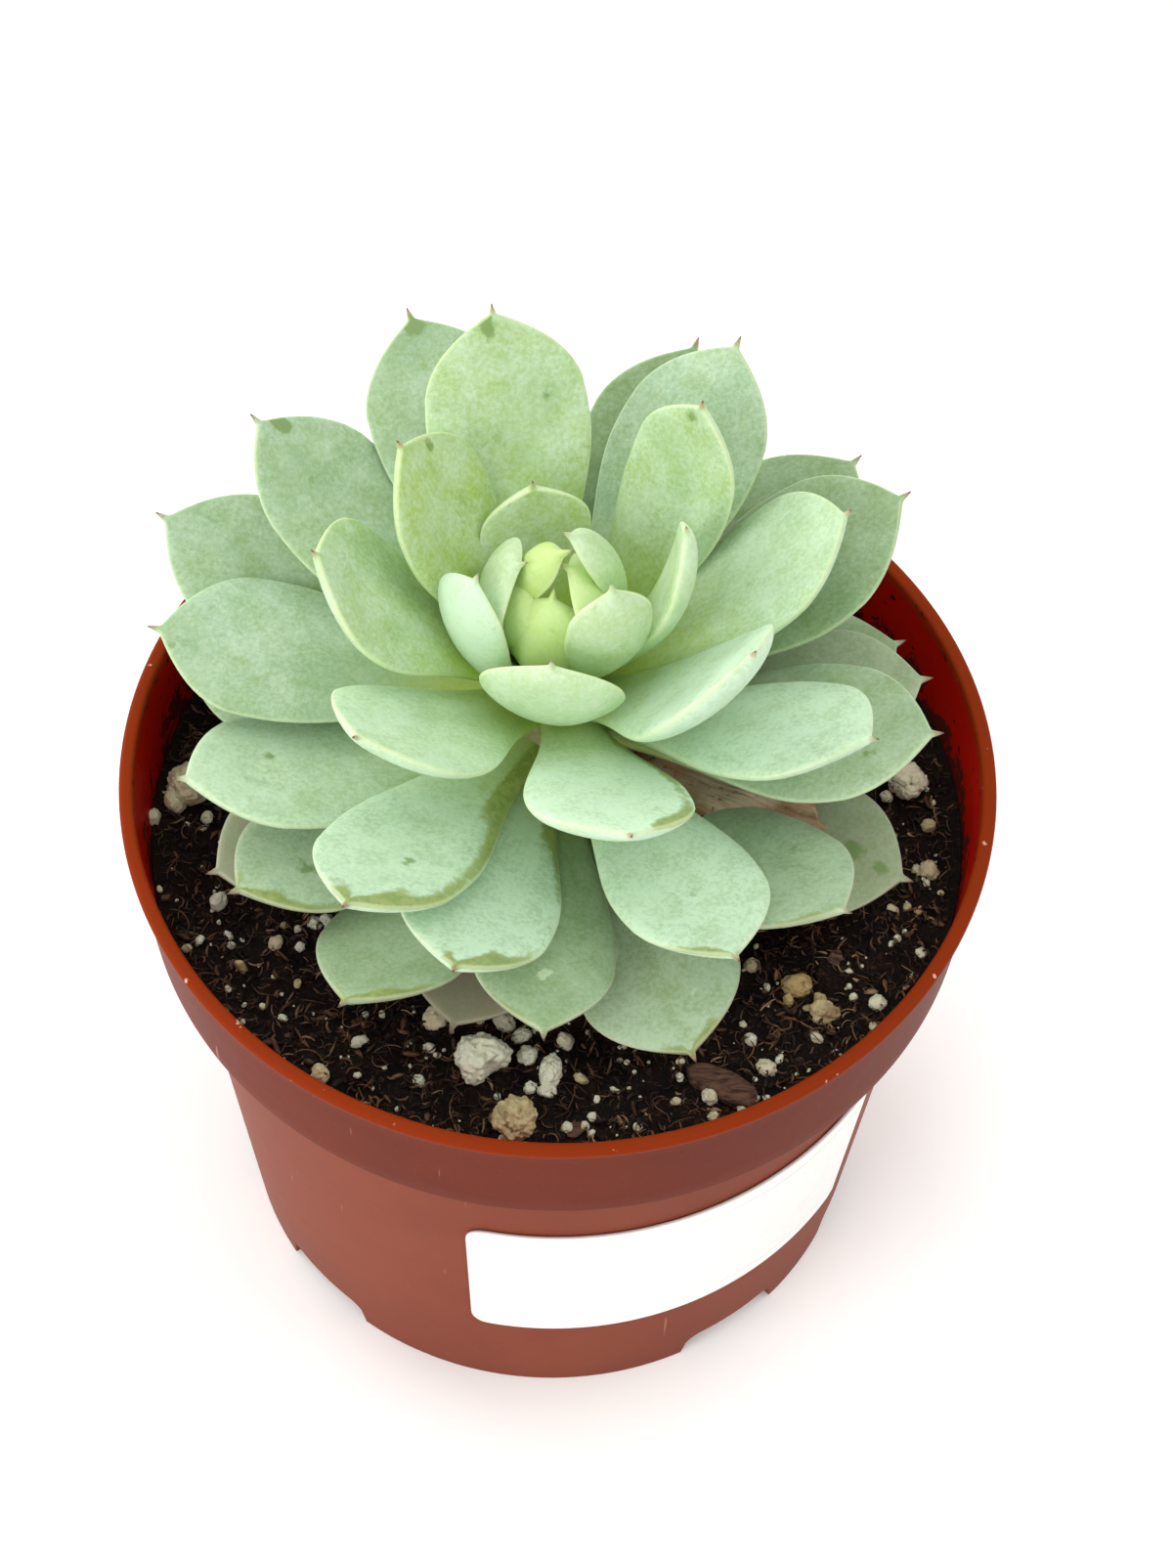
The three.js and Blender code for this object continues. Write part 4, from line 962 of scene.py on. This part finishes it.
def make_soil():
    side = 221
    a, b = np.meshgrid(*[np.linspace(-1, 1, side)] * 2, indexing="ij")
    # Square grid laid on a disc so that the cells keep about one size.
    x = (a * np.sqrt(1 - b * b / 2)).reshape(-1) * soil_edge()
    y = (b * np.sqrt(1 - a * a / 2)).reshape(-1) * soil_edge()
    verts = [np.stack([x, y, soil_height(x, y)], -1)]
    faces = grid_faces(side, side, False)[:, ::-1].tolist()
    ring = border(side, side)
    ring = ring[:1] + ring[:0:-1]
    around = np.arctan2(y[ring], x[ring])
    gap = WALL_THICKNESS + 0.3
    shelf = POT_HEIGHT - BAND_HEIGHT + gap
    floor = FLOOR_HEIGHT + FLOOR_THICKNESS + 0.3
    count = side * side
    for radius, z in ((BAND_BOTTOM_RADIUS, shelf), (WALL_TOP_RADIUS, shelf),
                      (wall_radius(floor), floor)):
        verts.append((radius - gap) * direction(0, around) + [0, 0, z])
        fresh = list(range(count, count + len(ring)))
        faces += band(ring, fresh)
        ring = fresh
        count += len(ring)
    verts.append([[0, 0, floor]])
    obj = make_mesh("potting_soil", np.vstack(verts), faces + fan(ring, count))
    piece(obj, soil_material(), "soil", "soil")


def ball(level):
    """Unit icosphere as arrays."""
    bm = bmesh.new()
    bmesh.ops.create_icosphere(bm, subdivisions=level, radius=1.0)
    verts = np.array([v.co[:] for v in bm.verts])
    faces = np.array([[v.index for v in f.verts] for f in bm.faces])
    bm.free()
    return verts, faces


def random_turns(rng, count):
    q = rng.normal(size=(count, 4))
    q /= np.linalg.norm(q, axis=1)[:, None]
    w, x, y, z = q.T
    return np.stack([
        1 - 2 * (y * y + z * z), 2 * (x * y - z * w), 2 * (x * z + y * w),
        2 * (x * y + z * w), 1 - 2 * (x * x + z * z), 2 * (y * z - x * w),
        2 * (x * z - y * w), 2 * (y * z + x * w), 1 - 2 * (x * x + y * y),
    ], -1).reshape(count, 3, 3)


def scatter(rng, count, low=9.0, margin=0.8):
    """Random places on the soil, away from the stem."""
    high = soil_edge() - margin
    r = np.sqrt(rng.uniform((low / high) ** 2, 1, count)) * high
    a = rng.uniform(0, 2 * np.pi, count)
    return r * np.cos(a), r * np.sin(a)


def lumps(name, skin, slot, rng, count, sizes, level, rough, squash, sink, seed):
    """Many small uneven lumps lying on the soil, in one mesh."""
    xs, ys = scatter(rng, count)
    sizes = rng.uniform(*sizes, count)
    rng = np.random.default_rng(seed)
    unit, tri = ball(level)
    turns = random_turns(rng, count)
    shapes = unit[None] * rng.uniform(0.65, 1.25, (count, 1, 3))
    shift = rng.uniform(-50, 50, (count, 1, 3))
    bumps = noise3((shapes * 1.4 + shift).reshape(-1, 3), seed)
    bumps = bumps + 0.5 * noise3((shapes * 3.1 + shift).reshape(-1, 3), seed + 1)
    bumps = bumps.reshape(count, -1)
    shapes = np.einsum("nij,nkj->nki", turns, shapes * (1 + rough * bumps)[..., None])
    shapes[..., 2] *= squash
    z = soil_height(xs, ys) + sizes / 2 * squash * (1 - 2 * sink)
    verts = shapes * sizes[:, None, None] / 2 + np.stack([xs, ys, z], -1)[:, None]
    faces = tri[None] + (np.arange(count) * len(unit))[:, None, None]
    # hollow_shade is how much painted shade a dent gets; only the perlite skin uses it.
    obj = make_mesh(name, verts.reshape(-1, 3), faces.reshape(-1, 3),
                    {"hollow_shade": np.clip(0.5 - 0.9 * bumps, 0, 1).reshape(-1)}, False)
    piece(obj, skin, slot)


def make_crumbs():
    rng = np.random.default_rng(21)
    lumps("soil_crumbs", soil_material("soil_crumb_skin", 0.04), "soil", rng, 260, (0.7, 1.6),
          2, 0.5, 0.7, 0.4, 31)
    lumps("soil_grit", soil_material("soil_grit_skin", 0.16), "soil", rng, 3600, (0.3, 0.95),
          1, 0.35, 0.8, 0.3, 32)


def strips(name, skin, count, long, wide, thin, steps, curl, seed, low):
    """Curled shreds: flat strips of peat lying every way on the soil."""
    rng = np.random.default_rng(seed)
    x, y = scatter(rng, count, low, 1.2)
    stride = rng.uniform(*long, count) / (steps - 1)
    width = rng.uniform(*wide, count) / 2
    heading = rng.uniform(0, 2 * np.pi, count)
    bend = rng.normal(0, curl, count)
    tilt = rng.normal(0.12, 0.42, count)
    arch = rng.normal(-0.14, 0.22, count)
    roll = rng.normal(0, 0.75, count)
    screw = rng.normal(0, 0.28, count)
    z = soil_height(x, y) + rng.uniform(0.0, 0.55, count)
    rings = []
    for k in range(steps):
        taper = 0.25 + 0.75 * math.sin(math.pi * (0.1 + 0.8 * k / (steps - 1)))
        side, ahead = direction(0, heading + math.pi / 2), direction(tilt, heading)
        above = np.cross(ahead, side)
        c, s = np.cos(roll)[:, None], np.sin(roll)[:, None]
        turned = (side * c + above * s) * (width * taper)[:, None]
        upward = (above * c - side * s) * thin
        for a, b in ((1, 0.5), (0, 1), (-1, 0.5), (0, -0.6)):
            rings.append(np.stack([x, y, z], -1) + turned * a + upward * b)
        x = x + stride * ahead[:, 0]
        y = y + stride * ahead[:, 1]
        ground = soil_height(x, y)
        z = np.clip(z + stride * ahead[:, 2], ground - 0.25, ground + 1.3)
        over = np.maximum(1.0, np.hypot(x, y) / (soil_edge() - 0.5))
        x, y = x / over, y / over
        heading = heading + bend + rng.normal(0, 0.12, count)
        tilt, roll = tilt + arch, roll + screw
    ends = [[3, 2, 1, 0], [steps * 4 - 4 + i for i in range(4)]]
    faces = np.vstack([grid_faces(steps, 4), ends])[None]
    faces = faces + (np.arange(count) * steps * 4)[:, None, None]
    shade = np.repeat(rng.beta(1.5, 2.6, count), steps * 4)
    obj = make_mesh(name, np.stack(rings, 1).reshape(-1, 3), faces.reshape(-1, 4),
                    {"shade": shade})
    piece(obj, skin, "soil")


def make_fibres():
    """Shreds, chips and threads of peat and coir lying in the soil."""
    skin = fibre_material()
    strips("soil_shreds", skin, 4900, (0.9, 2.6), (0.2, 0.5), 0.06, 5, 0.42, 5, 15.0)
    strips("soil_chips", skin, 900, (1.0, 2.2), (0.5, 1.0), 0.10, 4, 0.2, 7, 12.0)
    strips("soil_threads", skin, 2000, (2.0, 5.0), (0.12, 0.26), 0.06, 8, 0.45, 6, 15.0)


def perlite_shape(size, seed, level, notch=None):
    """A popped grain: round swellings packed together, with hollows between."""
    unit, tri = ball(level)
    shift = np.array([seed * 3.1, seed * 1.7, seed * 0.9])

    def domes(frequency, salt):
        cell = cells3(unit * frequency + shift, salt)
        return np.sqrt(np.clip(1 - (cell / 0.95) ** 2, 0, 1))

    large, small = domes(1.5, seed), domes(3.6, seed + 3)
    tiny = domes(8.0, seed + 6) if level > 4 else 0.5
    swell = 0.42 + 0.5 * large + 0.3 * small + 0.09 * tiny + 0.08 * noise3(unit * 7 + shift, seed)
    swell = swell + 0.2 * noise3(unit * 1.1 + shift, seed + 5)
    if notch is not None:
        # A deep bay on one side, so that the grain curls round it.
        turn = np.arctan2(unit[:, 1], unit[:, 0]) - math.radians(notch)
        turn = (turn + math.pi) % (2 * math.pi) - math.pi
        swell = swell * (1 - 0.6 * np.exp(-(turn / 0.5) ** 2) * (1 - unit[:, 2] ** 2))
    points = unit * swell[:, None]
    points = points / np.abs(points[:, :2]).max() * [1, 1, 0.82]
    # The last array is how much painted shade each point gets, most in the hollows between
    # swellings.
    return points * size / 2, tri, np.clip(1.25 - 1.2 * large - 0.25 * small, 0, 1)


def make_perlite():
    skin = perlite_material()
    for k, (x, y, size) in enumerate(PERLITE_LUMPS):
        points, tri, hollow_shade = perlite_shape(size, k + 3, 5, -50 if k == 0 else None)
        if k == 1:
            points = points * [0.62, 1.0, 0.9]
        points = points + [x, y, SOIL_LEVEL + soil_swell(x, y) + size * 0.28]
        obj = make_mesh(f"perlite_lump_{k + 1}_grain", points, tri,
                        {"hollow_shade": hollow_shade, "tint": np.full(len(points), PERLITE_TINTS[k])})
        piece(obj, skin, "perlite", f"perlite_lump_{k + 1}")
    rng = np.random.default_rng(77)
    grains = list(PERLITE_GRAINS)
    for _ in range(130):
        x, y = scatter(rng, 1)
        grains.append((x[0], y[0], rng.uniform(0.5, 1.3), rng.beta(0.8, 1.6)))
    verts, faces, hollows, tints = [], [], [], []
    count = 0
    for k, (x, y, size, tint) in enumerate(grains):
        points, tri, hollow_shade = perlite_shape(size * 1.08, k + 40, 4 if size > 1.9 else 3)
        points = points * rng.uniform(0.72, 1.1, 3) @ random_turns(rng, 1)[0].T
        z = soil_height(np.array([x]), np.array([y]))[0] + size * 0.22
        verts.append(points + [x, y, z])
        faces.append(tri + count)
        hollows.append(hollow_shade)
        tints.append(np.full(len(points), tint))
        count += len(points)
    obj = make_mesh("perlite_grains", np.vstack(verts), np.vstack(faces),
                    {"hollow_shade": np.concatenate(hollows), "tint": np.concatenate(tints)})
    piece(obj, skin, "perlite")
    lumps("perlite_dust", skin, "perlite", rng, 500, (0.25, 0.7), 1, 0.35, 0.8, 0.1, 33)


def make_bark():
    skin = bark_material()
    cx, cy, turn = 21.0, -36.5, math.radians(-28)
    length, width, height = 9.0, 4.0, 2.2
    rows, columns = 40, 18
    sx, sa = np.meshgrid(np.linspace(-1, 1, rows),
                         np.linspace(0, 2 * np.pi, columns, endpoint=False), indexing="ij")
    end = np.sqrt(np.clip(1 - np.abs(sx) ** 7, 0.02, 1))
    c, s = np.cos(sa), np.sin(sa)
    px = sx * length / 2 + 0.3 * np.sin(sa * 3)
    py = np.sign(c) * np.abs(c) ** 0.5 * width / 2 * end * (1 - 0.25 * np.abs(sx))
    pz = np.sign(s) * np.abs(s) ** 0.6 * height / 2 * end
    flat = np.stack([px * 0.25, py * 2.2, pz * 2.2], -1).reshape(-1, 3)
    pz = pz + noise3(flat, 61).reshape(px.shape) * 0.28 + 0.25 * np.sin(px * 0.7)
    py = py + 0.12 * noise3(flat * 1.7, 62).reshape(px.shape)
    z = SOIL_LEVEL + soil_swell(cx, cy) + height * 0.25
    place = (Matrix.Translation((cx, cy, z)) @ Matrix.Rotation(turn, 4, "Z")
             @ Matrix.Rotation(math.radians(9), 4, "X"))
    place = np.array(place)
    points = np.stack([px, py, pz], -1).reshape(-1, 3) @ place[:3, :3].T + place[:3, 3]
    ends = [list(range(columns))[::-1], [(rows - 1) * columns + j for j in range(columns)]]
    obj = make_mesh("bark_chip_piece", points, grid_faces(rows, columns).tolist() + ends)
    piece(obj, skin, "bark", "bark_chip")
    lumps("bark_bits", skin, "bark", np.random.default_rng(9), 26, (1.0, 2.4), 2, 0.5, 0.3,
          0.1, 91)


def make_stem():
    line = np.array([(0, 57), (4, 58), (5.5, 63), (6.5, 72), (8, 78), (9, 84), (8.6, 90),
                     (7, 94.5), (4.5, 98), (2.2, 100.5), (0, 101.5)], float)
    along, fine = np.linspace(0, 1, len(line)), np.linspace(0, 1, 60)
    r, z = (np.interp(fine, along, values)[:, None] for values in line.T)
    sides = 64
    theta = np.arange(sides) * 2 * np.pi / sides
    scars = 0.25 * np.sin(z * 2.4) * np.sin(8 * theta + z * 0.9) - 0.25
    radius = np.maximum(0, r + scars * (r > 1.5))
    foot = np.array([STEM_X, STEM_Y, 0])
    points = foot + np.stack([radius * np.cos(theta), radius * np.sin(theta),
                              z + 0 * theta], -1)
    verts = [points[1:-1].reshape(-1, 3), points[:1, 0], points[-1:, 0]]
    rows = len(z) - 2
    count = rows * sides
    faces = grid_faces(rows, sides).tolist() + fan(list(range(sides))[::-1], count)
    faces += fan(list(range(count - sides, count)), count + 1)
    count += 2
    # Main roots, spreading downwards and getting thinner.
    s = np.linspace(0, 1, 24)[:, None]
    a = 2 * math.pi * np.arange(10) / 10
    for i in range(5):
        turn = 2 * math.pi * (i + 0.3) / 5
        slope = math.radians(38 + 4 * (i % 2))
        rad = 1.7 - s
        away, aside = direction(0, turn), direction(0, turn + math.pi / 2)
        sway = (0.8 * np.sin(s * 9 + i) + rad * np.cos(a))[..., None] * aside
        out = (1 + 34 * s * math.cos(slope) + 0 * a)[..., None] * away
        rise = (61 - 34 * s * math.sin(slope) + rad * np.sin(a))[..., None] * [0, 0, 1]
        verts.append((foot + sway + out + rise).reshape(-1, 3))
        faces += (grid_faces(24, 10) + count).tolist()
        faces += [[count + j for j in range(9, -1, -1)], [count + 230 + j for j in range(10)]]
        count += 240
    obj = make_mesh("stem_and_roots", np.vstack(verts), faces)
    piece(obj, stem_material(), "stem", "stem_with_roots")


# ---------------------------------------------------------------- stage
def lamp(name, bearing, height, energy, colour):
    """Round soft lamp 1.6 m from the plant, at a bearing and a height in degrees."""
    way = Vector(direction(math.radians(height), math.radians(bearing)))
    data = bpy.data.lights.new(name, "AREA")
    data.shape = "DISK"
    data.size = 1.2
    data.energy = energy
    data.color = colour
    obj = bpy.data.objects.new(name, data)
    obj.location = Vector((0, 0, 0.08)) + way * 1.6
    obj.rotation_euler = (-way).to_track_quat("-Z", "Y").to_euler()
    bpy.context.scene.collection.objects.link(obj)


def make_stage():
    half = 4000.0
    floor = make_mesh("floor", [(-half, -half, 0), (half, -half, 0), (half, half, 0),
                                (-half, half, 0)], [(0, 1, 2, 3)])
    floor.data.materials.append(floor_material())

    world = bpy.data.worlds.new("studio")
    world.use_nodes = True
    sky = world.node_tree.nodes["Background"]
    sky.inputs["Color"].default_value = (1.0, 0.99, 0.975, 1)
    sky.inputs["Strength"].default_value = 0.8
    bpy.context.scene.world = world
    lamp("left_back", 135, 25, 11.5, (1.0, 0.99, 0.975))
    lamp("left_front", 225, 25, 12.0, (1.0, 0.99, 0.975))
    lamp("right_high", 5, 60, 4.5, (1.0, 0.995, 0.985))
    lamp("overhead", 0, 89, 3.5, (1.0, 0.995, 0.985))


def make_camera():
    """The photograph's viewpoint: from in front, looking steeply down."""
    pitch, roll = math.radians(55.9), math.radians(1.9)
    back = Vector((0, -math.cos(pitch), math.sin(pitch)))
    right = Vector((1, 0, 0))
    up = back.cross(right)
    turned_right = right * math.cos(roll) + up * math.sin(roll)
    turned_up = up * math.cos(roll) - right * math.sin(roll)
    matrix = Matrix((turned_right, turned_up, back)).transposed().to_4x4()
    matrix.translation = (Vector((3.5, 0, 81.3)) + back * 543.6) * MM
    data = bpy.data.cameras.new("camera")
    data.sensor_fit = "AUTO"
    data.sensor_width = 36.0
    data.lens = 4500.0 / 1604.0 * 36.0
    data.clip_start = 0.01
    camera = bpy.data.objects.new("camera", data)
    camera.matrix_world = matrix
    bpy.context.scene.collection.objects.link(camera)
    bpy.context.scene.camera = camera


for make in (make_camera, make_stage, make_pot, make_label, make_soil, make_crumbs, make_fibres,
             make_perlite, make_bark, make_stem, make_leaves):
    make()

scene = bpy.context.scene
scene.view_settings.view_transform = "Standard"
scene.view_settings.look = "None"
scene.view_settings.exposure = 0.0
